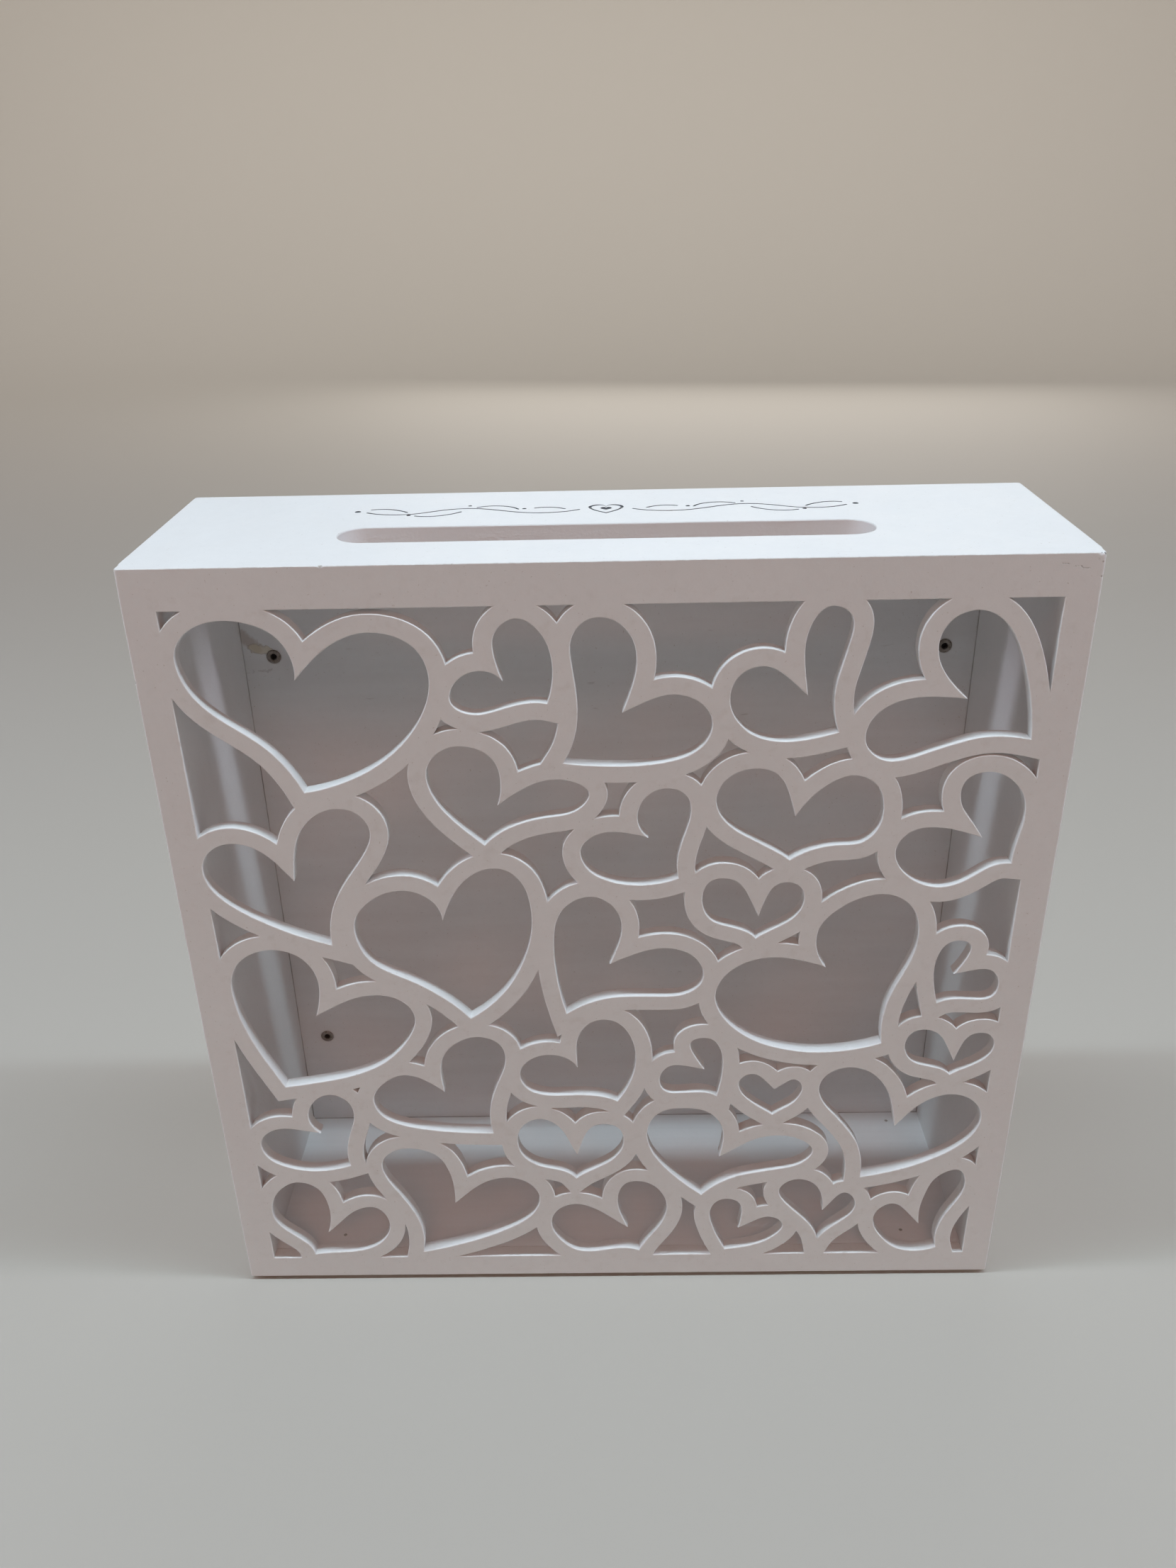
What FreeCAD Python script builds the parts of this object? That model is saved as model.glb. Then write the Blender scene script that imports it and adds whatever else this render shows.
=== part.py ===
"""Wedding card box: a shallow painted-MDF box with a fretted front of heart
cut-outs, a posting slot in the top, and a loose back panel that four
turn-buttons hold in its rebate.

Frame: millimetres, +Z up, +X to the right of somebody facing the fretted
front, +Y to the back.  Origin: the middle of the box on the surface it stands
on, under its glides.
"""
import FreeCAD, Part
import math
import os

V = FreeCAD.Vector
doc = FreeCAD.newDocument("WeddingCardBox")

# ---------------------------------------------------------------- dimensions
sheet = doc.addObject("Spreadsheet::Sheet", "Dimensions")
DIMS = [
    # the box
    ("box_width", 305.0, "overall width, 12 in"),
    ("box_depth", 90.0, "overall depth, front panel included"),
    ("body_height", 304.0, "height of the boards, without the glides"),
    ("stand_height", 1.6, "how far the glides hold the box up"),
    ("wall_thk", 10.6, "10 mm MDF boards with paint on both faces"),
    ("lattice_thk", 5.0, "fretted front panel"),
    ("corner_round", 1.2, "eased upright corners"),
    # the fretted front
    ("band_width", 6.35, "outline left round every heart, 1/4 in"),
    ("border_left", 11.15, "plain border of the fretwork"),
    ("border_right", 10.95, ""),
    ("border_top", 14.05, ""),
    ("border_bottom", 10.5, ""),
    # the posting slot, measured from the middle of the top
    ("slot_length", 178.0, "over its round ends"),
    ("slot_width", 18.9, ""),
    ("slot_centre_y", -10.4, ""),
    ("slot_centre_x", -0.3, ""),
    ("engrave_depth", 0.3, "lines of the ornament on the top"),
    ("engrave_line", 0.9, "width of those lines"),
    # the back
    ("rebate_width", 5.0, "into the thickness of the boards"),
    ("rebate_depth", 6.4, "from the back face"),
    ("panel_thk", 3.0, "loose back panel"),
    ("panel_side_gap", 0.3, "all round, between panel and rebate"),
    ("panel_face_gap", 0.1, "between panel and the rebate shoulder"),
    # turn-buttons and their rivets
    ("pivot_x", 130.0, "rivets, either side of the middle"),
    ("pivot_low", 59.0, "above the underside of the boards"),
    ("pivot_high", 243.0, ""),
    ("button_thk", 1.0, ""),
    ("button_gap", 0.1, "between button and panel"),
    ("button_root_r", 6.0, "round end at the rivet"),
    ("button_tip_r", 4.2, "round end that enters the kerf"),
    ("button_reach", 19.2, "rivet axis to the tip"),
    ("button_hole_r", 1.55, ""),
    ("kerf_r", 19.8, "kerf in the rebate wall, swung about the rivet"),
    ("kerf_width", 2.0, ""),
    ("rivet_r", 1.5, "shank"),
    ("rivet_bore_r", 1.25, "hollow tail"),
    ("rivet_bore_depth", 3.4, ""),
    ("rivet_head_r", 3.2, ""),
    ("rivet_head_thk", 1.0, ""),
    ("rivet_tail_r", 2.85, "rolled tail on the inside of the panel"),
    ("rivet_tail_thk", 0.6, ""),
    # nail-on glides
    ("glide_r", 8.0, ""),
    ("glide_nail_r", 0.7, ""),
    ("glide_nail_head_r", 1.9, ""),
    ("glide_nail_head_thk", 0.6, ""),
    ("glide_nail_show", 0.15, "tips stand this far out of the floor"),
]
D = {}
for row, (alias, value, note) in enumerate(DIMS, start=1):
    sheet.set("A%d" % row, alias)
    sheet.set("B%d" % row, str(value))
    sheet.setAlias("B%d" % row, alias)
    if note:
        sheet.set("C%d" % row, note)
    D[alias] = value
doc.recompute()
for alias in D:
    D[alias] = float(getattr(sheet, alias))


def bind(obj, **props):
    """Tie properties of obj to expressions over the sheet's cells."""
    for prop, expr in props.items():
        obj.setExpression(prop.replace("__", "."), expr_of(expr))
    return obj


def expr_of(text):
    """Write an alias as Dimensions.alias inside an expression."""
    out, word = "", ""
    for ch in text + " ":
        if ch.isalnum() or ch == "_":
            word += ch
        else:
            out += ("Dimensions." + word) if word in D else word
            out += ch
            word = ""
    return out.strip()


def box(name, x, y, z, dx, dy, dz, label=None):
    """A Part::Box; every size and place is an expression."""
    b = doc.addObject("Part::Box", name)
    bind(b, Length=dx, Width=dy, Height=dz,
         Placement__Base__x=x, Placement__Base__y=y, Placement__Base__z=z)
    b.Label = label or name
    return b


def cylinder_y(name, x, y, z, r, length):
    """A Part::Cylinder lying along +Y from y."""
    c = doc.addObject("Part::Cylinder", name)
    c.Placement = FreeCAD.Placement(V(0, 0, 0), FreeCAD.Rotation(V(1, 0, 0), -90))
    bind(c, Radius=r, Height=length,
         Placement__Base__x=x, Placement__Base__y=y, Placement__Base__z=z)
    return c


def cut(name, base, tools, label=None):
    """base minus tools, as Part::Cut objects one on another."""
    cur = base
    for i, tool in enumerate(tools):
        c = doc.addObject("Part::Cut", name if i == len(tools) - 1 else "%s_%d" % (name, i))
        c.Base, c.Tool = cur, tool
        cur = c
    cur.Label = label or name
    return cur


def plane(body, role):
    return [f for f in body.Origin.OriginFeatures if f.Role == role][0]


def sketch_on(body, name, role):
    sk = body.newObject("Sketcher::SketchObject", name)
    sk.AttachmentSupport = [(plane(body, role), "")]
    sk.MapMode = "FlatFace"
    return sk


import Sketcher  # noqa: E402


def closed_profile(sk, pts):
    """Straight closed outline through pts, with every corner point fixed by
    two dimensions; an entry is (x_expression, y_expression)."""
    val = [(evaluate(a), evaluate(b)) for a, b in pts]
    n = len(val)
    for i in range(n):
        a, b = val[i], val[(i + 1) % n]
        sk.addGeometry(Part.LineSegment(V(a[0], a[1], 0), V(b[0], b[1], 0)), False)
    for i in range(n):
        sk.addConstraint(Sketcher.Constraint("Coincident", i, 2, (i + 1) % n, 1))
    for i in range(n):
        for kind, v, ex in (("DistanceX", val[i][0], pts[i][0]), ("DistanceY", val[i][1], pts[i][1])):
            if abs(v) < 1e-9:
                # a corner on an axis is held on it
                sk.addConstraint(Sketcher.Constraint("PointOnObject", i, 1, -2 if kind == "DistanceX" else -1))
            else:
                k = sk.addConstraint(Sketcher.Constraint(kind, -1, 1, i, 1, v))
                sk.setExpression("Constraints[%d]" % k, expr_of(ex))


def evaluate(text):
    """Value of a plain sum or product of aliases and numbers."""
    toks, word = [], ""
    for ch in text + " ":
        if ch.isalnum() or ch in "_.":
            word += ch
        else:
            if word:
                toks.append(D[word] if word in D else float(word))
                word = ""
            if ch in "+-*/()":
                toks.append(ch)
    pos = [0]

    def atom():
        t = toks[pos[0]]
        pos[0] += 1
        if t == "(":
            v = total()
            pos[0] += 1
            return v
        if t == "-":
            return -atom()
        if t == "+":
            return atom()
        return t

    def product():
        v = atom()
        while pos[0] < len(toks) and toks[pos[0]] in ("*", "/"):
            op = toks[pos[0]]
            pos[0] += 1
            w = atom()
            v = v * w if op == "*" else v / w
        return v

    def total():
        v = product()
        while pos[0] < len(toks) and toks[pos[0]] in ("+", "-"):
            op = toks[pos[0]]
            pos[0] += 1
            w = product()
            v = v + w if op == "+" else v - w
        return v

    return total()


def turned(name, label, pts, base, rotation=None):
    """A turned piece: the closed (radius, height) profile pts revolved about
    its own Z, then placed; base is three expressions."""
    body = doc.addObject("PartDesign::Body", name)
    sk = sketch_on(body, name + "_profile", "XZ_Plane")
    closed_profile(sk, pts)
    rev = body.newObject("PartDesign::Revolution", name + "_turned")
    rev.Profile = sk
    rev.ReferenceAxis = (sk, ["V_Axis"])
    rev.Angle = 360
    sk.Visibility = False
    body.Tip = rev
    if rotation is not None:
        body.Placement = FreeCAD.Placement(V(0, 0, 0), rotation)
    bind(body, Placement__Base__x=base[0], Placement__Base__y=base[1], Placement__Base__z=base[2])
    body.Label = label
    return body


FRONT_Y = "(-box_depth / 2)"
INNER_FRONT_Y = "(-box_depth / 2 + lattice_thk)"
PARTS = []

# ------------------------------------------------------------- fretted front
# Each heart is two smooth sides, both running from the cleft to the point,
# as (x, z) in the plane of the panel: x from the middle, z from the underside
# of the boards.
HEARTS = [
    ([(-100.95, 266.15), (-95.61, 272.01), (-88.21, 277.99), (-79.44, 281.64), (-70.01, 281.29), (-61.79, 276.65), (-57.98, 268.10), (-58.96, 258.69), (-62.98, 250.07), (-68.93, 242.64), (-76.13, 236.39), (-84.35, 231.57), (-93.22, 228.08), (-102.50, 225.95)],
     [(-100.95, 266.15), (-101.28, 273.66), (-105.82, 281.45), (-114.01, 285.67), (-123.17, 286.58), (-131.95, 283.87), (-137.82, 276.95), (-137.52, 267.85), (-133.39, 259.61), (-126.86, 253.07), (-119.40, 247.57), (-112.42, 241.49), (-106.77, 234.17), (-102.50, 225.95)]),
    ([(-34.15, 264.95), (-36.43, 273.14), (-35.71, 281.44), (-28.96, 285.87), (-21.93, 281.47), (-18.56, 273.76), (-18.19, 265.29), (-20.13, 257.02)],
     [(-34.15, 264.95), (-41.69, 268.38), (-48.96, 265.15), (-51.28, 257.59), (-44.62, 253.54), (-36.46, 254.86), (-28.44, 257.04), (-20.13, 257.02)]),
    ([(4.15, 253.17), (11.67, 256.86), (19.65, 259.24), (27.71, 257.44), (33.11, 251.30), (32.12, 243.26), (26.00, 237.72), (18.02, 235.24), (9.71, 234.23), (1.33, 234.09), (-7.04, 234.48), (-15.35, 235.52)],
     [(4.15, 253.17), (7.10, 261.40), (8.86, 269.96), (7.55, 278.46), (1.61, 284.75), (-6.74, 284.96), (-11.85, 278.21), (-11.70, 269.51), (-10.61, 260.83), (-10.32, 252.09), (-11.77, 243.49), (-15.35, 235.52)]),
    ([(64.07, 258.23), (62.84, 266.31), (62.27, 274.45), (63.90, 282.40), (69.33, 288.20), (76.03, 285.31), (76.46, 277.23), (74.56, 269.28), (72.80, 261.32), (72.81, 253.16), (74.68, 245.22)],
     [(64.07, 258.23), (57.63, 264.25), (50.04, 268.48), (42.06, 265.56), (39.06, 257.53), (41.94, 249.31), (48.74, 243.85), (57.35, 242.14), (66.12, 243.06), (74.68, 245.22)]),
    ([(115.42, 256.24), (109.51, 262.33), (105.20, 269.59), (104.79, 277.93), (109.75, 284.59), (117.87, 285.89), (124.97, 281.46), (129.59, 274.38), (132.69, 266.48), (135.05, 258.33), (136.76, 250.01), (137.73, 241.59)],
     [(115.42, 256.24), (107.18, 257.00), (98.93, 256.82), (91.05, 254.48), (85.14, 248.88), (84.16, 240.90), (89.58, 235.15), (97.73, 235.12), (105.53, 237.84), (113.34, 240.56), (121.34, 242.60), (129.59, 242.89), (137.73, 241.59)]),
    ([(-38.04, 219.98), (-30.91, 225.05), (-22.99, 228.69), (-14.33, 228.87), (-7.26, 224.18), (-11.51, 217.72), (-19.96, 215.51), (-28.54, 213.79), (-36.55, 210.37), (-43.27, 204.80)],
     [(-38.04, 219.98), (-36.70, 228.82), (-39.08, 237.18), (-46.61, 241.70), (-55.28, 240.71), (-60.84, 234.05), (-60.22, 225.25), (-55.83, 217.50), (-49.84, 210.87), (-43.27, 204.80)]),
    ([(12.73, 206.69), (9.10, 214.00), (11.37, 221.47), (18.45, 225.40), (25.51, 222.51), (26.87, 214.59), (24.71, 206.72), (22.81, 198.77), (23.13, 190.61)],
     [(12.73, 206.69), (4.48, 208.72), (-3.91, 208.36), (-10.15, 203.00), (-8.50, 195.09), (-1.71, 190.12), (6.53, 188.12), (15.00, 188.31), (23.13, 190.61)]),
    ([(62.34, 214.09), (67.18, 221.00), (73.51, 226.54), (81.37, 229.25), (88.76, 225.76), (91.75, 218.09), (90.87, 209.73), (85.35, 203.82), (76.98, 202.96), (68.74, 201.22), (61.29, 197.29)],
     [(62.34, 214.09), (59.92, 222.72), (55.34, 230.27), (46.88, 232.20), (38.84, 228.43), (35.62, 220.44), (39.11, 212.32), (46.11, 206.80), (53.89, 202.33), (61.29, 197.29)]),
    ([(126.30, 204.89), (121.60, 211.83), (117.55, 219.17), (118.64, 226.92), (126.28, 229.75), (133.81, 226.45), (138.59, 219.71), (139.44, 211.43), (138.17, 203.15), (137.39, 194.80)],
     [(126.30, 204.89), (118.33, 207.58), (110.07, 209.10), (101.96, 207.45), (97.51, 200.71), (99.95, 192.85), (106.35, 187.51), (114.46, 185.62), (122.31, 188.15), (129.24, 192.89), (137.39, 194.80)]),
    ([(-110.44, 191.28), (-109.46, 199.76), (-107.33, 208.01), (-102.60, 215.03), (-95.26, 219.13), (-86.96, 217.99), (-82.30, 211.36), (-84.32, 203.20), (-88.98, 196.06), (-93.81, 189.02), (-97.73, 181.45), (-99.96, 173.23), (-100.27, 164.72)],
     [(-110.44, 191.28), (-115.31, 197.83), (-121.14, 203.47), (-128.66, 206.42), (-136.48, 204.71), (-141.26, 198.38), (-140.61, 190.38), (-135.98, 183.75), (-129.69, 178.57), (-122.74, 174.30), (-115.49, 170.55), (-107.98, 167.38), (-100.27, 164.72)]),
    ([(-59.97, 174.08), (-56.97, 181.88), (-52.58, 188.96), (-46.07, 194.12), (-37.93, 194.87), (-31.61, 189.68), (-28.96, 181.82), (-28.40, 173.48), (-29.44, 165.19), (-31.82, 157.18), (-35.38, 149.62), (-40.05, 142.69), (-45.82, 136.65), (-52.51, 131.64)],
     [(-59.97, 174.08), (-63.06, 182.16), (-70.43, 186.45), (-79.04, 185.82), (-86.49, 181.38), (-91.07, 174.16), (-90.80, 165.50), (-87.08, 157.69), (-80.22, 152.40), (-72.49, 148.34), (-65.16, 143.60), (-58.44, 138.03), (-52.51, 131.64)]),
    ([(51.59, 174.28), (53.80, 181.49), (58.01, 187.51), (65.03, 186.81), (67.11, 179.95), (63.52, 173.47), (57.23, 169.35), (50.90, 165.25)],
     [(51.59, 174.28), (48.00, 182.36), (42.53, 189.19), (34.43, 188.86), (31.71, 180.86), (35.30, 172.96), (43.43, 169.82), (50.90, 165.25)]),
    ([(-1.13, 154.82), (6.92, 158.53), (15.38, 161.12), (24.11, 160.48), (31.03, 155.17), (32.11, 146.72), (25.52, 141.29), (16.73, 140.52), (7.87, 140.72), (-0.97, 140.18), (-9.45, 137.70), (-17.11, 133.26)],
     [(-1.13, 154.82), (1.92, 162.64), (3.33, 170.87), (0.69, 178.68), (-6.20, 183.16), (-14.08, 181.22), (-19.18, 174.70), (-20.76, 166.49), (-20.90, 158.10), (-20.23, 149.74), (-18.95, 141.44), (-17.11, 133.26)]),
    ([(76.61, 152.36), (72.87, 160.63), (73.53, 169.50), (79.16, 176.51), (86.91, 181.21), (95.78, 182.73), (103.83, 178.90), (107.96, 170.94), (108.35, 161.91), (106.12, 153.11), (102.67, 144.70), (99.87, 136.06), (98.72, 127.06), (99.31, 118.00)],
     [(76.61, 152.36), (67.62, 155.38), (58.27, 156.81), (49.00, 155.16), (41.27, 149.82), (37.36, 141.35), (39.47, 132.26), (45.41, 124.93), (53.16, 119.50), (62.01, 116.15), (71.32, 114.37), (80.79, 114.23), (90.19, 115.42), (99.31, 118.00)]),
    ([(122.82, 148.72), (129.38, 150.14), (135.92, 150.08), (139.45, 144.74), (137.58, 138.56), (131.24, 137.60), (124.56, 137.89), (118.11, 136.09)],
     [(122.82, 148.72), (126.44, 154.87), (127.24, 161.52), (120.99, 162.63), (116.61, 157.13), (115.70, 150.12), (116.47, 143.03), (118.11, 136.09)]),
    ([(-109.51, 133.38), (-102.19, 137.51), (-94.58, 141.06), (-86.32, 142.33), (-78.35, 140.01), (-73.43, 133.46), (-74.86, 125.34), (-79.38, 118.27), (-85.30, 112.33), (-92.47, 107.97), (-100.34, 105.04), (-108.52, 103.10), (-116.80, 101.65), (-125.10, 100.32)],
     [(-109.51, 133.38), (-107.44, 141.79), (-107.46, 150.42), (-111.31, 158.07), (-118.76, 162.25), (-127.32, 161.93), (-134.65, 157.49), (-138.47, 149.82), (-138.83, 141.18), (-137.65, 132.60), (-135.27, 124.26), (-132.25, 116.13), (-128.77, 108.18), (-125.10, 100.32)]),
    ([(127.16, 109.23), (129.10, 115.66), (132.62, 121.24), (138.88, 121.27), (141.28, 115.44), (137.90, 109.77), (132.18, 106.24), (126.38, 102.82)],
     [(127.16, 109.23), (123.77, 116.46), (118.87, 122.70), (111.50, 123.04), (108.39, 116.13), (112.03, 109.23), (119.49, 106.63), (126.38, 102.82)]),
    ([(-13.71, 107.76), (-13.97, 115.93), (-12.51, 123.89), (-6.78, 129.50), (0.93, 128.90), (6.04, 122.63), (8.06, 114.75), (7.61, 106.61), (5.19, 98.81), (1.12, 91.73)],
     [(-13.71, 107.76), (-20.55, 113.51), (-29.10, 113.07), (-35.24, 106.72), (-33.29, 98.61), (-25.21, 95.01), (-16.27, 94.97), (-7.33, 94.60), (1.12, 91.73)]),
    ([(34.07, 106.50), (30.37, 112.73), (29.07, 119.50), (35.39, 120.86), (39.87, 115.37), (40.84, 108.21), (40.28, 100.99), (38.90, 93.87)],
     [(34.07, 106.50), (27.48, 108.00), (20.88, 108.02), (17.31, 102.66), (19.29, 96.48), (25.71, 95.50), (32.44, 95.80), (38.90, 93.87)]),
    ([(-64.71, 96.87), (-65.38, 105.59), (-63.84, 114.09), (-58.00, 120.48), (-49.72, 122.72), (-42.27, 118.67), (-41.00, 110.32), (-43.76, 102.02), (-46.69, 93.78), (-48.05, 85.17), (-47.28, 76.47)],
     [(-64.71, 96.87), (-71.59, 102.43), (-79.73, 105.23), (-87.47, 101.34), (-92.05, 93.96), (-89.59, 85.77), (-82.25, 81.02), (-73.69, 78.79), (-64.94, 77.46), (-56.12, 76.75), (-47.28, 76.47)]),
    ([(60.81, 96.52), (64.39, 99.28), (68.47, 100.99), (71.08, 97.82), (70.38, 93.42), (67.87, 89.71), (64.22, 87.05), (60.57, 84.36)],
     [(60.81, 96.52), (56.98, 100.77), (52.37, 103.92), (47.77, 101.31), (48.04, 95.83), (51.50, 91.31), (55.89, 87.66), (60.57, 84.36)]),
    ([(107.95, 77.58), (113.06, 84.35), (119.23, 90.17), (127.13, 92.99), (135.20, 90.91), (140.22, 84.27), (139.65, 75.98), (134.95, 68.96), (128.38, 63.60), (120.98, 59.44), (113.15, 56.15), (105.02, 53.69), (96.71, 51.94)],
     [(107.95, 77.58), (106.51, 86.16), (104.01, 94.48), (99.29, 101.75), (91.94, 106.18), (83.45, 105.29), (78.04, 98.84), (79.42, 90.48), (84.54, 83.45), (89.86, 76.56), (94.21, 69.03), (96.42, 60.64), (96.71, 51.94)]),
    ([(-114.33, 77.19), (-118.19, 84.46), (-116.02, 91.70), (-109.15, 96.04), (-102.41, 92.58), (-100.70, 84.63), (-103.02, 76.73), (-104.95, 68.74), (-104.48, 60.52)],
     [(-114.33, 77.19), (-122.87, 78.78), (-131.43, 79.10), (-137.91, 73.58), (-136.79, 65.45), (-129.95, 60.22), (-121.55, 58.02), (-112.88, 58.30), (-104.48, 60.52)]),
    ([(-14.77, 64.72), (-12.54, 72.27), (-7.62, 79.50), (0.60, 78.72), (3.23, 70.56), (-0.78, 62.73), (-8.14, 57.71), (-15.50, 52.70)],
     [(-14.77, 64.72), (-17.95, 71.86), (-21.67, 79.02), (-28.44, 83.02), (-35.44, 79.79), (-37.94, 72.30), (-35.89, 64.57), (-29.89, 59.47), (-22.13, 57.26), (-15.50, 52.70)]),
    ([(40.67, 63.04), (47.72, 67.71), (55.01, 71.99), (63.29, 73.50), (71.46, 71.61), (77.05, 65.59), (72.41, 59.20), (64.36, 56.64), (56.04, 55.06), (47.85, 52.94), (40.36, 49.03), (34.06, 43.40)],
     [(40.67, 63.04), (41.99, 71.61), (40.64, 80.07), (34.70, 86.17), (26.28, 87.65), (17.85, 85.82), (13.01, 78.93), (13.04, 70.33), (16.37, 62.37), (21.59, 55.45), (27.60, 49.19), (34.06, 43.40)]),
    ([(-64.46, 39.88), (-58.26, 45.95), (-51.31, 51.08), (-42.96, 53.10), (-34.89, 50.38), (-30.57, 43.13), (-32.74, 34.94), (-38.93, 28.93), (-46.40, 24.52), (-54.29, 20.92), (-62.42, 17.89), (-70.73, 15.41), (-79.16, 13.35)],
     [(-64.46, 39.88), (-64.43, 48.49), (-65.89, 56.94), (-69.75, 64.57), (-77.29, 68.44), (-85.83, 67.92), (-91.61, 62.15), (-90.79, 53.72), (-86.84, 46.06), (-82.75, 38.46), (-79.58, 30.44), (-78.34, 21.93), (-79.16, 13.35)]),
    ([(-117.34, 24.54), (-111.30, 30.52), (-104.98, 36.20), (-97.09, 37.86), (-92.24, 31.12), (-93.24, 22.94), (-99.02, 16.78), (-106.97, 14.04), (-115.46, 13.45), (-123.90, 12.46)],
     [(-117.34, 24.54), (-115.56, 32.67), (-116.06, 40.99), (-119.35, 48.59), (-126.70, 51.70), (-133.90, 47.88), (-138.03, 40.69), (-138.23, 32.44), (-133.77, 25.57), (-127.69, 19.87), (-123.90, 12.46)]),
    ([(4.80, 25.87), (1.77, 33.72), (0.90, 42.19), (4.26, 49.56), (12.45, 49.78), (18.44, 43.96), (20.39, 35.79), (18.02, 27.70), (13.45, 20.52), (9.22, 13.14)],
     [(4.80, 25.87), (-1.92, 31.13), (-8.72, 36.26), (-16.78, 38.72), (-23.95, 34.79), (-25.92, 26.71), (-22.37, 19.06), (-15.93, 13.60), (-7.56, 13.11), (0.83, 14.52), (9.22, 13.14)]),
    ([(49.25, 24.97), (55.47, 28.56), (62.21, 30.78), (67.21, 26.71), (64.02, 20.54), (58.16, 16.51), (51.31, 14.46), (44.23, 13.25)],
     [(49.25, 24.97), (50.51, 32.28), (48.65, 39.17), (41.79, 40.21), (37.89, 34.32), (38.75, 27.00), (41.13, 19.98), (44.23, 13.25)]),
    ([(82.78, 34.07), (86.61, 39.31), (91.25, 43.47), (95.43, 39.29), (94.71, 33.03), (90.40, 28.22), (85.63, 23.83), (81.78, 18.58)],
     [(82.78, 34.07), (82.08, 42.06), (78.13, 48.76), (70.55, 50.50), (65.19, 45.08), (68.17, 38.08), (73.53, 32.11), (78.61, 25.91), (81.78, 18.58)]),
    ([(122.24, 26.32), (121.97, 35.16), (123.71, 43.84), (127.60, 51.73), (135.31, 54.70), (138.46, 47.12), (136.02, 38.63), (132.05, 30.71), (129.68, 22.21), (130.25, 13.40)],
     [(122.24, 26.32), (117.12, 32.59), (110.80, 37.34), (104.72, 33.11), (104.45, 25.21), (108.51, 18.25), (114.56, 12.97), (122.41, 11.49), (130.25, 13.40)]),
]


def smooth(points):
    """A curve through the points, at natural ends."""
    c = Part.BSplineCurve()
    c.interpolate([V(x, 0, z) for x, z in points])
    return c


def heart_face(heart):
    a, b = heart
    return Part.Face(Part.Wire(Part.__sortEdges__([smooth(a).toShape(), smooth(b).toShape()])))


def rect_face(x0, z0, x1, z1):
    p = [V(x0, 0, z0), V(x1, 0, z0), V(x1, 0, z1), V(x0, 0, z1), V(x0, 0, z0)]
    return Part.Face(Part.makePolygon(p))


def side_points(points, band, sign, n):
    """Points band away from a side, on its outer hand; the ends' directions."""
    c = smooth(points)
    a, b = c.FirstParameter, c.LastParameter
    out = []
    for i in range(n + 1):
        t = a + (b - a) * i / n
        d = V(*c.tangent(t)[0]).normalize()
        out.append(c.value(t) + V(-d.z, 0, d.x) * (sign * band))
    return out, V(*c.tangent(b)[0]).normalize()


def crossing(p, q, r, s):
    """Where segment pq crosses segment rs in the panel's plane, or None."""
    a, b = q - p, s - r
    den = a.x * b.z - a.z * b.x
    if abs(den) < 1e-12:
        return None
    c = r - p
    u, v = (c.x * b.z - c.z * b.x) / den, (c.x * a.z - c.z * a.x) / den
    return p + a * u if 0 <= u <= 1 and 0 <= v <= 1 else None


def outline_face(heart, band):
    """The heart grown by band all round.  The two grown sides cross above the
    cleft and are trimmed there; at the point they run on straight to meet."""
    sides = []
    ring = heart[0] + heart[1][::-1]
    area = sum(ring[i][0] * ring[(i + 1) % len(ring)][1] - ring[(i + 1) % len(ring)][0] * ring[i][1] for i in range(len(ring)))
    for k, pts in enumerate(heart):
        sign = -1 if (area > 0) == (k == 0) else 1
        sides.append(side_points(pts, band, sign, 6 * (len(pts) - 1)))
    (pa, ta), (pb, tb) = sides
    hit = None
    for i in range(len(pa) // 2):
        for j in range(len(pb) // 2):
            x = crossing(pa[i], pa[i + 1], pb[j], pb[j + 1])
            if x is not None:
                hit = (x, i, j)
    assert hit, "the outlines do not cross over the cleft"
    x, i, j = hit
    pa, pb = [x] + pa[i + 1:], [x] + pb[j + 1:]
    for side in (pa, pb):                       # no very short first step
        if side[0].distanceToPoint(side[1]) < 0.3:
            del side[1]
    e = pb[-1] - pa[-1]
    den = ta.x * tb.z - ta.z * tb.x
    u = (e.x * tb.z - e.z * tb.x) / den
    m = pa[-1] + ta * u
    ca, cb = Part.BSplineCurve(), Part.BSplineCurve()
    ca.interpolate(pa)
    cb.interpolate(pb)
    edges = [ca.toShape(), Part.makeLine(pa[-1], m), Part.makeLine(m, pb[-1]), cb.toShape()]
    return Part.Face(Part.Wire(Part.__sortEdges__(edges)))


half = D["box_width"] / 2
faces = [heart_face(h) for h in HEARTS]
grown = []
for i, (heart, f) in enumerate(zip(HEARTS, faces)):
    g = outline_face(heart, D["band_width"])
    assert g.isValid() and g.Area > f.Area * 1.05, "outline of heart %d" % (i + 1)
    grown.append(g)
opening = rect_face(-half + D["border_left"], D["border_bottom"],
                    half - D["border_right"], D["body_height"] - D["border_top"])
between = opening.cut(grown)
gaps = [f for f in between.Faces if f.Area > 1.0]
sheet_face = rect_face(-half, 0, half, D["body_height"])
pattern = sheet_face.cut(faces + gaps)
assert len(pattern.Faces) == 1, "the fretwork is in %d pieces" % len(pattern.Faces)
print("hearts %d, gaps between outlines %d, fretwork area %.1f mm2" % (len(faces), len(gaps), pattern.Area))

fret = doc.addObject("Part::Feature", "fret_pattern")
fret.Shape = pattern.Faces[0]
bind(fret, Placement__Base__y=FRONT_Y, Placement__Base__z="stand_height")
fret_block = doc.addObject("Part::Extrusion", "fret_block")
fret_block.Base = fret
fret_block.DirMode = "Custom"
fret_block.Dir = V(0, 1, 0)
fret_block.Solid = True
bind(fret_block, LengthFwd="lattice_thk")
doc.recompute()


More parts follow.
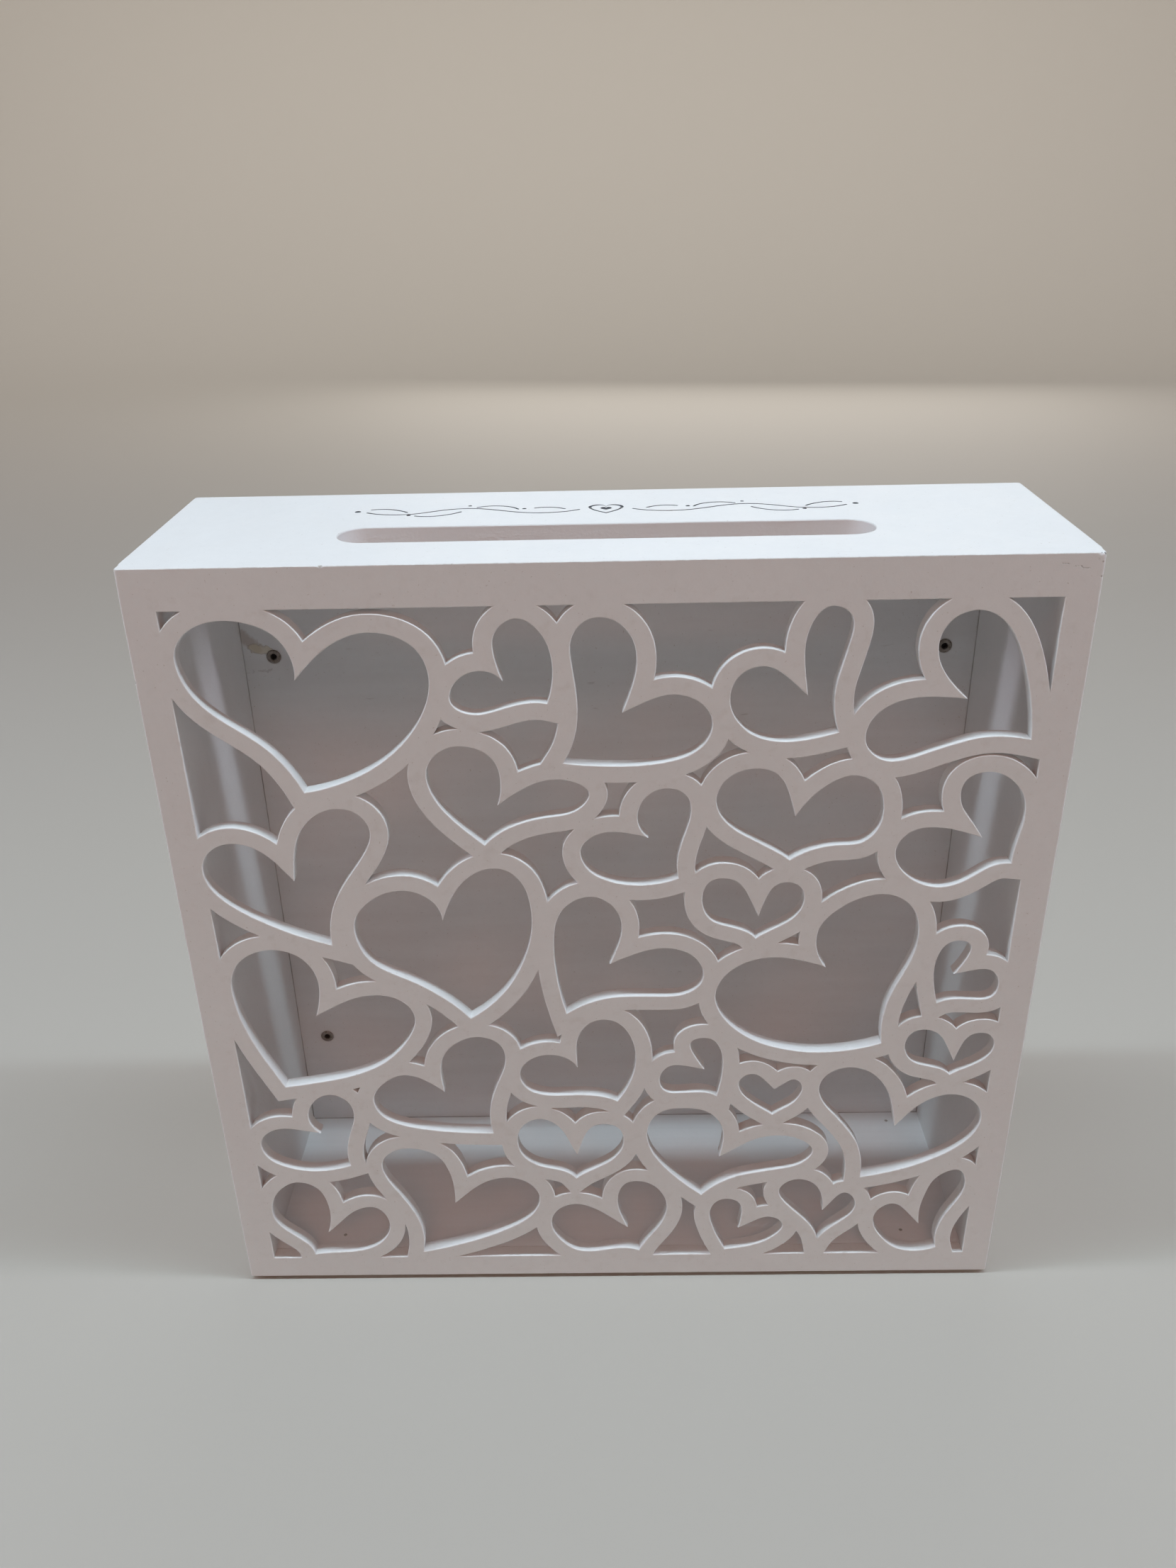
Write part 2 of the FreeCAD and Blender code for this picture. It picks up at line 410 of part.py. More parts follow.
def upright_edges(shape, y, xs):
    """Numbers of the long edges that stand upright at the given y and xs."""
    out = []
    for i, e in enumerate(shape.Edges, start=1):
        bb = e.BoundBox
        if bb.XLength < 1e-4 and bb.YLength < 1e-4 and bb.ZLength > 5 and abs(bb.YMin - y) < 1e-4:
            if any(abs(bb.XMin - x) < 1e-4 for x in xs):
                out.append(i)
    return out


def ease_corners(name, obj, y, xs, label):
    """The outer upright corners of obj, eased by corner_round."""
    doc.recompute()
    fil = doc.addObject("Part::Fillet", name)
    fil.Base = obj
    r = D["corner_round"]
    edges = upright_edges(obj.Shape, y, xs)
    assert edges, name
    fil.Edges = [(i, r, r) for i in edges]
    fil.Label = label
    return fil


half_depth = D["box_depth"] / 2
PARTS.append(ease_corners("front_lattice", fret_block, -half_depth, (-half, half), "front_lattice"))

# ------------------------------------------------------------------- boards
board_depth = "(box_depth - lattice_thk)"
top_z = "(stand_height + body_height - wall_thk)"
shoulder_y = "(box_depth / 2 - rebate_depth)"
rebate_wall_x = "(box_width / 2 - wall_thk + rebate_width)"

# Top board: full width, posting slot with round ends, stopped rebate below its
# back edge, engraved ornament behind the slot.
top_blank = box("top_blank", "-box_width / 2", INNER_FRONT_Y, top_z, "box_width", board_depth, "wall_thk")
top_eased = ease_corners("top_eased", top_blank, half_depth, (-half, half), "top_eased")
slot_mid = box("slot_middle", "slot_centre_x - slot_length / 2 + slot_width / 2", "slot_centre_y - slot_width / 2",
               top_z + " - 1", "slot_length - slot_width", "slot_width", "wall_thk + 2")
slot_ends = []
for side, sx in (("left", "-"), ("right", "+")):
    c = doc.addObject("Part::Cylinder", "slot_end_" + side)
    bind(c, Radius="slot_width / 2", Height="wall_thk + 2",
         Placement__Base__x="slot_centre_x %s (slot_length / 2 - slot_width / 2)" % sx,
         Placement__Base__y="slot_centre_y", Placement__Base__z=top_z + " - 1")
    slot_ends.append(c)
slot = doc.addObject("Part::MultiFuse", "posting_slot")
slot.Shapes = [slot_mid] + slot_ends
top_rebate = box("top_rebate", "-" + rebate_wall_x, shoulder_y, top_z + " - 1",
                 "2 * " + rebate_wall_x, "rebate_depth + 1", "rebate_width + 1")

# The ornament: fine lines either side of a small heart, as centre lines in
# (x, y) on the top; the left half mirrors the right.
LINES = [
    # long wave
    [(9.5, 17.6), (18.0, 14.3), (28.0, 14.6), (38.0, 18.6), (48.0, 21.6), (58.0, 19.6), (67.0, 15.4), (76.0, 14.8), (84.0, 18.0)],
    # short return curls
    [(31.0, 19.6), (35.0, 23.6), (41.0, 24.6), (45.5, 23.0)],
    [(51.0, 17.2), (56.0, 13.2), (62.0, 11.6), (66.5, 12.6)],
    [(14.5, 19.0), (19.5, 21.4), (25.0, 20.8)],
    [(70.0, 17.6), (74.0, 21.0), (79.0, 22.6), (83.0, 22.0)],
]
DOTS = [(28.8, 20.0, 0.8), (68.9, 13.6, 0.8), (87.6, 19.6, 1.1), (48.4, 25.2, 0.7)]


def stroke_face(points, width):
    """A line of even width about the curve through points, with round ends."""
    c = Part.BSplineCurve()
    c.interpolate([V(x, y, 0) for x, y in points])
    n = 8 * (len(points) - 1)
    a, b = c.FirstParameter, c.LastParameter
    left, right = [], []
    for i in range(n + 1):
        t = a + (b - a) * i / n
        p, d = c.value(t), V(*c.tangent(t)[0])
        off = V(-d.y, d.x, 0).normalize() * (width / 2)
        left.append(p + off)
        right.append(p - off)
    right.reverse()
    cl, cr = Part.BSplineCurve(), Part.BSplineCurve()
    cl.interpolate(left)
    cr.interpolate(right)
    d_end, d_beg = V(*c.tangent(b)[0]).normalize(), V(*c.tangent(a)[0]).normalize()
    cap_end = Part.Arc(left[-1], c.value(b) + d_end * (width / 2), right[0])
    cap_beg = Part.Arc(right[-1], c.value(a) - d_beg * (width / 2), left[0])
    return Part.Face(Part.Wire([cl.toShape(), cap_end.toShape(), cr.toShape(), cap_beg.toShape()]))


def small_heart(cx, cy, size):
    """A plain symmetrical heart, size wide."""
    q = size / 2.0
    right = [(0, 0.42 * q), (0.45 * q, 0.88 * q), (0.93 * q, 0.52 * q), (0.80 * q, -0.12 * q), (0.38 * q, -0.62 * q), (0, -0.98 * q)]
    left = [(-x, y) for x, y in right]
    edges = []
    for side in (right, left):
        c = Part.BSplineCurve()
        c.interpolate([V(cx + x, cy + y, 0) for x, y in side])
        edges.append(c.toShape())
    return Part.Face(Part.Wire(Part.__sortEdges__(edges)))


w = D["engrave_line"]
marks = []
for line in LINES:
    marks.append(stroke_face(line, w))
    marks.append(stroke_face([(-x, y) for x, y in line], w))
for x, y, r in DOTS:
    for s in (1, -1):
        marks.append(Part.Face(Part.Wire([Part.Circle(V(s * x, y, 0), V(0, 0, 1), r).toShape()])))
outer, inner = small_heart(0, 18.2, 13.0), small_heart(0, 18.2, 13.0 - 2.6 * w)
marks.append(outer.cut(inner).Faces[0])
marks.append(small_heart(0, 18.4, 4.2))
ornament = doc.addObject("Part::Feature", "ornament_lines")
ornament.Shape = Part.makeCompound(marks)
bind(ornament, Placement__Base__z=top_z + " + wall_thk - engrave_depth")
ornament_cut = doc.addObject("Part::Extrusion", "ornament_cut")
ornament_cut.Base = ornament
ornament_cut.DirMode = "Custom"
ornament_cut.Dir = V(0, 0, 1)
ornament_cut.Solid = True
bind(ornament_cut, LengthFwd="engrave_depth + 1")
PARTS.append(cut("top_board", top_eased, [slot, top_rebate, ornament_cut]))

# Bottom board: full width, stopped rebate above its back edge, four holes that
# the nails of the glides were driven through.
bottom_blank = box("bottom_blank", "-box_width / 2", INNER_FRONT_Y, "stand_height", "box_width", board_depth, "wall_thk")
bottom_eased = ease_corners("bottom_eased", bottom_blank, half_depth, (-half, half), "bottom_eased")
bottom_rebate = box("bottom_rebate", "-" + rebate_wall_x, shoulder_y, "stand_height + wall_thk - rebate_width",
                    "2 * " + rebate_wall_x, "rebate_depth + 1", "rebate_width + 1")
GLIDES = [("front_left", -114.0, -33.0), ("front_right", 119.0, -33.0),
          ("back_left", -120.0, 33.0), ("back_right", 126.5, 33.0)]
nail_holes = []
for name, x, y in GLIDES:
    c = doc.addObject("Part::Cylinder", "nail_hole_" + name)
    bind(c, Radius="glide_nail_r", Height="wall_thk + 2", Placement__Base__z="stand_height - 1")
    c.Placement.Base.x, c.Placement.Base.y = x, y
    pl = c.Placement
    pl.Base = V(x, y, pl.Base.z)
    c.Placement = pl
    nail_holes.append(c)
PARTS.append(cut("bottom_board", bottom_eased, [bottom_rebate] + nail_holes))

# Side boards: between top and bottom, rebated along their inner back edge,
# with two kerfs in the rebate wall for the turn-buttons.
side_height = "(body_height - 2 * wall_thk)"
side_z = "(stand_height + wall_thk)"
panel_y = "(box_depth / 2 - rebate_depth + panel_face_gap)"
button_y = "(box_depth / 2 - rebate_depth + panel_face_gap + panel_thk + button_gap)"
kerf_y = "(box_depth / 2 - rebate_depth + panel_face_gap + panel_thk + button_gap + button_thk / 2 - kerf_width / 2)"
for side, s in (("left", "-"), ("right", "")):
    x0 = "-box_width / 2" if side == "left" else "box_width / 2 - wall_thk"
    blank = box(side + "_blank", x0, INNER_FRONT_Y, side_z, "wall_thk", board_depth, side_height)
    eased = ease_corners(side + "_eased", blank, half_depth, (-half,) if side == "left" else (half,), side + "_eased")
    xr = "-" + rebate_wall_x if side == "left" else "box_width / 2 - wall_thk - 1"
    reb = box(side + "_rebate", xr, shoulder_y, side_z + " - 1", "rebate_width + 1", "rebate_depth + 1", side_height + " + 2")
    kerfs = [cylinder_y("%s_kerf_%s" % (side, lvl), s + "pivot_x", kerf_y, "stand_height + pivot_" + lvl, "kerf_r", "kerf_width")
             for lvl in ("low", "high")]
    PARTS.append(cut(side + "_side_board", eased, [reb] + kerfs))

# --------------------------------------------------------------- back panel
gap = "panel_side_gap"
panel_blank = box("panel_blank", "-" + rebate_wall_x + " + " + gap, panel_y,
                  "stand_height + wall_thk - rebate_width + " + gap,
                  "2 * " + rebate_wall_x + " - 2 * " + gap, "panel_thk",
                  "body_height - 2 * wall_thk + 2 * rebate_width - 2 * " + gap)
PIVOTS = [("upper_left", "-", "high"), ("upper_right", "", "high"), ("lower_left", "-", "low"), ("lower_right", "", "low")]
holes = [cylinder_y("panel_hole_" + n, s + "pivot_x", panel_y + " - 1", "stand_height + pivot_" + lvl, "rivet_r", "panel_thk + 2")
         for n, s, lvl in PIVOTS]
PARTS.append(cut("back_panel", panel_blank, holes))

# ------------------------------------------------------------- turn-buttons
def turn_button(name, s, lvl):
    """A flat steel pear shape with a hole at its round end, hanging point
    down from its rivet."""
    body = doc.addObject("PartDesign::Body", name)
    sk = sketch_on(body, name + "_outline", "XZ_Plane")
    R1, R2, reach = D["button_root_r"], D["button_tip_r"], D["button_reach"]
    d = reach - R2
    # angle of the straight sides from the long axis, tangent to both ends
    a = math.asin((R1 - R2) / d)
    n1 = V(math.cos(a), -math.sin(a), 0)
    p1, p2 = n1 * R1, V(0, -d, 0) + n1 * R2
    q1, q2 = V(-p1.x, p1.y, 0), V(-p2.x, p2.y, 0)
    sk.addGeometry(Part.Arc(p1, V(0, R1, 0), q1), False)            # 0 root
    sk.addGeometry(Part.LineSegment(q1, q2), False)                   # 1
    sk.addGeometry(Part.Arc(q2, V(0, -reach, 0), p2), False)         # 2 tip
    sk.addGeometry(Part.LineSegment(p2, p1), False)                   # 3
    sk.addConstraint(Sketcher.Constraint("Tangent", 0, 2, 1, 1))
    sk.addConstraint(Sketcher.Constraint("Tangent", 1, 2, 2, 1))
    sk.addConstraint(Sketcher.Constraint("Tangent", 2, 2, 3, 1))
    sk.addConstraint(Sketcher.Constraint("Tangent", 3, 2, 0, 1))
    sk.addConstraint(Sketcher.Constraint("Coincident", 0, 3, -1, 1))
    sk.addConstraint(Sketcher.Constraint("PointOnObject", 2, 3, -2))
    for geo, expr, val in ((0, "button_root_r", R1), (2, "button_tip_r", R2)):
        k = sk.addConstraint(Sketcher.Constraint("Radius", geo, val))
        sk.setExpression("Constraints[%d]" % k, expr_of(expr))
    k = sk.addConstraint(Sketcher.Constraint("DistanceY", 2, 3, -1, 1, d))
    sk.setExpression("Constraints[%d]" % k, expr_of("button_reach - button_tip_r"))
    g = sk.addGeometry(Part.Circle(V(0, 0, 0), V(0, 0, 1), D["button_hole_r"]), False)
    sk.addConstraint(Sketcher.Constraint("Coincident", g, 3, -1, 1))
    k = sk.addConstraint(Sketcher.Constraint("Radius", g, D["button_hole_r"]))
    sk.setExpression("Constraints[%d]" % k, expr_of("button_hole_r"))
    pad = body.newObject("PartDesign::Pad", name + "_plate")
    pad.Profile = sk
    pad.Reversed = True
    pad.setExpression("Length", expr_of("button_thk"))
    sk.Visibility = False
    body.Tip = pad
    bind(body, Placement__Base__x=s + "pivot_x", Placement__Base__y=button_y, Placement__Base__z="stand_height + pivot_" + lvl)
    body.Label = name
    return body


for n, s, lvl in PIVOTS:
    PARTS.append(turn_button("turn_button_" + n, s, lvl))

# Semi-tubular rivets: domed head outside, over the button; hollow tail rolled
# over on the inside of the panel.  Profile heights run from the tail's end.
grip = "(rivet_tail_thk + panel_thk + button_gap + button_thk + button_gap)"
for n, s, lvl in PIVOTS:
    prof = [("0", "rivet_bore_depth"), ("rivet_bore_r", "rivet_bore_depth - 0.3"), ("rivet_bore_r", "0.25"),
            ("rivet_bore_r + 0.3", "0"), ("rivet_tail_r - 0.45", "0"), ("rivet_tail_r", "0.4"),
            ("rivet_tail_r", "rivet_tail_thk"), ("rivet_r", "rivet_tail_thk"), ("rivet_r", grip),
            ("rivet_head_r", grip), ("rivet_head_r - 0.35", grip + " + 0.55"),
            ("rivet_head_r - 1.6", grip + " + rivet_head_thk - 0.08"), ("0", grip + " + rivet_head_thk")]
    PARTS.append(turned("rivet_" + n, "rivet_" + n, prof,
                        (s + "pivot_x", panel_y + " - rivet_tail_thk", "stand_height + pivot_" + lvl),
                        FreeCAD.Rotation(V(1, 0, 0), -90)))

# ------------------------------------------------------------------- glides
# A thin dished plastic disc, nailed up into the bottom board; the tip of the
# nail just breaks the top of the board.
for n, x, y in GLIDES:
    prof = [("glide_nail_head_r + 0.1", "0"), ("glide_r - 1.2", "0"), ("glide_r - 0.4", "0.35"), ("glide_r", "stand_height - 0.3"),
            ("glide_r", "stand_height"), ("glide_nail_r", "stand_height"), ("glide_nail_r", "glide_nail_head_thk + 0.15"),
            ("glide_nail_head_r + 0.1", "glide_nail_head_thk + 0.15")]
    PARTS.append(turned("glide_" + n, "glide_" + n, prof, (str(x), str(y), "0")))
    prof = [("0", "0.15"), ("glide_nail_head_r", "0.15"), ("glide_nail_head_r", "glide_nail_head_thk + 0.15"),
            ("glide_nail_r", "glide_nail_head_thk + 0.15"), ("glide_nail_r", "stand_height + wall_thk"),
            ("glide_nail_r - 0.3", "stand_height + wall_thk + glide_nail_show"), ("0", "stand_height + wall_thk + glide_nail_show")]
    PARTS.append(turned("glide_nail_" + n, "glide_nail_" + n, prof, (str(x), str(y), "0")))

# ------------------------------------------------------------ check and write
doc.recompute()
bad = [o.Name for o in doc.Objects if "Invalid" in o.State or "Error" in o.State]
assert not bad, "failed objects: %s" % bad
os.makedirs("parts", exist_ok=True)
for old in os.listdir("parts"):
    if old.endswith(".step"):
        os.remove(os.path.join("parts", old))
total = None
for p in PARTS:
    sh = p.Shape
    assert not sh.isNull() and sh.isValid(), p.Label
    assert len(sh.Solids) == 1, "%s has %d solids" % (p.Label, len(sh.Solids))
    bb = sh.BoundBox
    print("%-26s vol %10.1f  x %8.2f..%8.2f  y %7.2f..%7.2f  z %7.2f..%7.2f" % (
        p.Label, sh.Volume, bb.XMin, bb.XMax, bb.YMin, bb.YMax, bb.ZMin, bb.ZMax))
    sh.exportStep(os.path.join("parts", p.Label + ".step"))
print("%d sub-parts" % len(PARTS))
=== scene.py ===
"""Looks of the wedding card box: a shallow painted-MDF box with a fretted
front of heart cut-outs, a posting slot and a loose back panel.

Everything is in metres in the part's own frame; numbers called mm are
multiplied by MM where they are used.
"""
import math

import bmesh
import bpy
import numpy as np
from mathutils import Matrix, Vector, geometry, noise


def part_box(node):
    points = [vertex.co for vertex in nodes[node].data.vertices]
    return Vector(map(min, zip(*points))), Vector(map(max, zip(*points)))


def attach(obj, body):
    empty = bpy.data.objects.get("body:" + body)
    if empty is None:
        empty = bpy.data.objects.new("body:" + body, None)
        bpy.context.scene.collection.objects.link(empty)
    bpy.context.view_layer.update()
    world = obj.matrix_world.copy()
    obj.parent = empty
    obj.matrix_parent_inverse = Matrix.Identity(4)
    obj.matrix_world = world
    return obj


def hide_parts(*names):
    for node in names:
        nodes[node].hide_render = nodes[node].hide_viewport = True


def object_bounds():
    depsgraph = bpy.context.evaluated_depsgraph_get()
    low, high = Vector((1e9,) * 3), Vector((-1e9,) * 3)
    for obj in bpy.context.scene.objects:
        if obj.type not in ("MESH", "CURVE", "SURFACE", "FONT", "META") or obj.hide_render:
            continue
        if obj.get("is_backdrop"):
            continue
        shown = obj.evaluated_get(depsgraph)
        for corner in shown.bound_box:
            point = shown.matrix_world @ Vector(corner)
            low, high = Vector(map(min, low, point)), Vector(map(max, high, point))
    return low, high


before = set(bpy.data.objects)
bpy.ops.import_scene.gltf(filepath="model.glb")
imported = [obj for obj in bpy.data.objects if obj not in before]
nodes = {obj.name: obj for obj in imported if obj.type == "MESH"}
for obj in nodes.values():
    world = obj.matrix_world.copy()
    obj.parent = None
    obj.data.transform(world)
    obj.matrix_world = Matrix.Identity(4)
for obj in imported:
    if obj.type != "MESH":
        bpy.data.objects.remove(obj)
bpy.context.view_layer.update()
scene = bpy.context.scene
MM = 0.001

CORNERS = ("upper_left", "upper_right", "lower_left", "lower_right")
GLIDES = ("front_left", "front_right", "back_left", "back_right")


# ------------------------------------------------------------------ the camera
def make_camera():
    data = bpy.data.cameras.new("camera")
    data.sensor_width = 36.0
    data.lens = 28.75
    data.clip_start, data.clip_end = 0.01, 50.0
    cam = bpy.data.objects.new("camera", data)
    scene.collection.objects.link(cam)
    forward = Vector((-0.0150, 0.8930, -0.4498)).normalized()
    right = Vector((0.9998, 0.0068, -0.0199))
    right = (right - forward * right.dot(forward)).normalized()
    up = right.cross(forward).normalized()
    turn = Matrix((right, up, -forward)).transposed()
    cam.matrix_world = Matrix.Translation((-0.00116, -0.41806, 0.41713)) @ turn.to_4x4()
    scene.camera = cam


# --------------------------------------------------------------- shader helper
class Shader:
    """A small writer of node trees around one Principled surface."""

    def __init__(self, name):
        self.mat = bpy.data.materials.new(name)
        self.mat.use_nodes = True
        self.tree = self.mat.node_tree
        self.tree.nodes.clear()
        self.out = self.tree.nodes.new("ShaderNodeOutputMaterial")
        self.bsdf = self.tree.nodes.new("ShaderNodeBsdfPrincipled")
        self.link(self.bsdf.outputs[0], self.out.inputs[0])
        self.place = self.tree.nodes.new("ShaderNodeTexCoord").outputs["Object"]
        self.mm = self.vec("MULTIPLY", self.place, (1000.0, 1000.0, 1000.0))
        split = self.tree.nodes.new("ShaderNodeSeparateXYZ")
        self.link(self.mm, split.inputs[0])
        self.x, self.y, self.z = split.outputs

    def link(self, a, b):
        self.tree.links.new(a, b)

    def put(self, socket, value):
        if isinstance(value, bpy.types.NodeSocket):
            self.link(value, socket)
        else:
            socket.default_value = value

    def math(self, op, a, b=None, c=None, clamp=False):
        n = self.tree.nodes.new("ShaderNodeMath")
        n.operation, n.use_clamp = op, clamp
        for i, v in enumerate((a, b, c)):
            if v is not None:
                self.put(n.inputs[i], v)
        return n.outputs[0]

    def vec(self, op, a, b=None):
        n = self.tree.nodes.new("ShaderNodeVectorMath")
        n.operation = op
        self.put(n.inputs[0], a)
        if b is not None:
            self.put(n.inputs[1], b)
        return n.outputs[0]

    def shifted(self, by, stretch=(1.0, 1.0, 1.0)):
        """Place in mm, stretched and moved, so that two noises differ."""
        return self.vec("ADD", self.vec("MULTIPLY", self.mm, stretch), by)

    def noise(self, scale, detail=2.0, rough=0.5, at=None, out=0, distortion=0.0):
        n = self.tree.nodes.new("ShaderNodeTexNoise")
        n.noise_dimensions = "3D"
        self.link(at if at is not None else self.mm, n.inputs["Vector"])
        n.inputs["Scale"].default_value = scale
        n.inputs["Detail"].default_value = detail
        n.inputs["Roughness"].default_value = rough
        n.inputs["Distortion"].default_value = distortion
        return n.outputs[out]

    def range(self, v, a, b, c=0.0, d=1.0, smooth=False):
        n = self.tree.nodes.new("ShaderNodeMapRange")
        n.interpolation_type = "SMOOTHSTEP" if smooth else "LINEAR"
        n.clamp = True
        self.put(n.inputs["Value"], v)
        for k, val in zip(("From Min", "From Max", "To Min", "To Max"), (a, b, c, d)):
            n.inputs[k].default_value = val
        return n.outputs["Result"]

    def mix(self, fac, a, b, mode="MIX"):
        n = self.tree.nodes.new("ShaderNodeMix")
        n.data_type = "RGBA"
        n.blend_type = mode
        n.clamp_factor = True
        self.put(n.inputs[0], fac)
        for socket, v in ((n.inputs[6], a), (n.inputs[7], b)):
            self.put(socket, v if isinstance(v, bpy.types.NodeSocket) else (*v, 1.0))
        return n.outputs[2]

    def bump(self, height, strength, distance, normal=None):
        n = self.tree.nodes.new("ShaderNodeBump")
        n.inputs["Strength"].default_value = strength
        n.inputs["Distance"].default_value = distance
        self.link(height, n.inputs["Height"])
        if normal is not None:
            self.link(normal, n.inputs["Normal"])
        return n.outputs[0]

    def within(self, v, lo, hi, soft):
        """1 where lo < v < hi, fading over soft outside each end."""
        return self.math(
            "MULTIPLY",
            self.range(v, lo - soft, lo, smooth=True),
            self.range(v, hi, hi + soft, 1.0, 0.0, smooth=True),
        )

    def all(self, *masks):
        out = masks[0]
        for m in masks[1:]:
            out = self.math("MULTIPLY", out, m)
        return out

    def either(self, *masks):
        out = masks[0]
        for m in masks[1:]:
            out = self.math("MAXIMUM", out, m)
        return out

    def near(self, point, radius, soft, axis_y=False):
        """1 within radius mm of a point, fading over soft; with axis_y, of
        the line through it along y."""
        d = self.tree.nodes.new("ShaderNodeVectorMath")
        d.operation = "DISTANCE"
        if axis_y:
            self.link(self.vec("MULTIPLY", self.mm, (1.0, 0.0, 1.0)), d.inputs[0])
            point = (point[0], 0.0, point[2])
        else:
            self.link(self.mm, d.inputs[0])
        d.inputs[1].default_value = point
        return self.range(d.outputs["Value"], radius, radius + soft, 1.0, 0.0, smooth=True)


# ------------------------------------------------------------------- materials
def paint_base(s, white, peel=0.000022):
    """Satin white paint: faint clouds, specks and the skin of a sprayed coat.
    Returns colour, roughness and bump height (mm)."""
    cloud = s.noise(0.018, 3.0, 0.55, s.shifted((31.0, 7.0, 5.0)))
    fine = s.noise(0.30, 3.0, 0.6, s.shifted((3.0, 51.0, 19.0)))
    shade = s.math("ADD", s.range(cloud, 0.3, 0.7, -0.009, 0.009), s.range(fine, 0.3, 0.7, -0.007, 0.007))
    colour = s.mix(s.range(shade, -0.030, 0.030), tuple(c * 0.955 for c in white), tuple(min(1.0, c * 1.035) for c in white))
    speck = s.range(s.noise(1.15, 1.0, 0.5, s.shifted((71.0, 13.0, 2.0))), 0.735, 0.79)
    colour = s.mix(s.math("MULTIPLY", speck, 0.45), colour, (0.52, 0.47, 0.41))
    rough = s.range(s.noise(0.09, 3.0, 0.6, s.shifted((5.0, 5.0, 81.0))), 0.3, 0.7, 0.40, 0.52)
    skin = s.noise(0.75, 2.0, 0.45, s.shifted((9.0, 1.0, 4.0)))
    swell = s.noise(0.085, 2.0, 0.5, s.shifted((2.0, 8.0, 3.0)))
    nibs = s.range(s.noise(0.9, 0.0, 0.5, s.shifted((17.0, 23.0, 29.0))), 0.74, 0.80)
    height = s.math("ADD", s.math("MULTIPLY", skin, 0.030), s.math("MULTIPLY", swell, 0.035))
    height = s.math("ADD", height, s.math("MULTIPLY", nibs, 0.012))
    return colour, rough, height


def along(s, point, a, b, width, soft):
    """1 within width mm of the straight line from a to b."""
    ax, ay, az = a
    d = [q - p for p, q in zip(a, b)]
    length = sum(c * c for c in d)
    rel = s.vec("SUBTRACT", point, a)
    n = s.tree.nodes.new("ShaderNodeVectorMath")
    n.operation = "DOT_PRODUCT"
    s.link(rel, n.inputs[0])
    n.inputs[1].default_value = [c / length for c in d]
    t = s.math("ADD", n.outputs["Value"], 0.0, clamp=True)
    foot = s.tree.nodes.new("ShaderNodeVectorMath")
    foot.operation = "SCALE"
    foot.inputs[0].default_value = d
    s.link(t, foot.inputs["Scale"])
    e = s.tree.nodes.new("ShaderNodeVectorMath")
    e.operation = "DISTANCE"
    s.link(rel, e.inputs[0])
    s.link(foot.outputs[0], e.inputs[1])
    return s.range(e.outputs["Value"], width, width + soft, 1.0, 0.0, smooth=True)


def finish_paint(s, colour, rough, height, metal=None):
    s.put(s.bsdf.inputs["Base Color"], colour)
    s.put(s.bsdf.inputs["Roughness"], rough)
    s.put(s.bsdf.inputs["Normal"], s.bump(height, 1.0, MM))
    return s.mat


WHITE = (0.865, 0.865, 0.87)
MDF = (0.36, 0.27, 0.185)


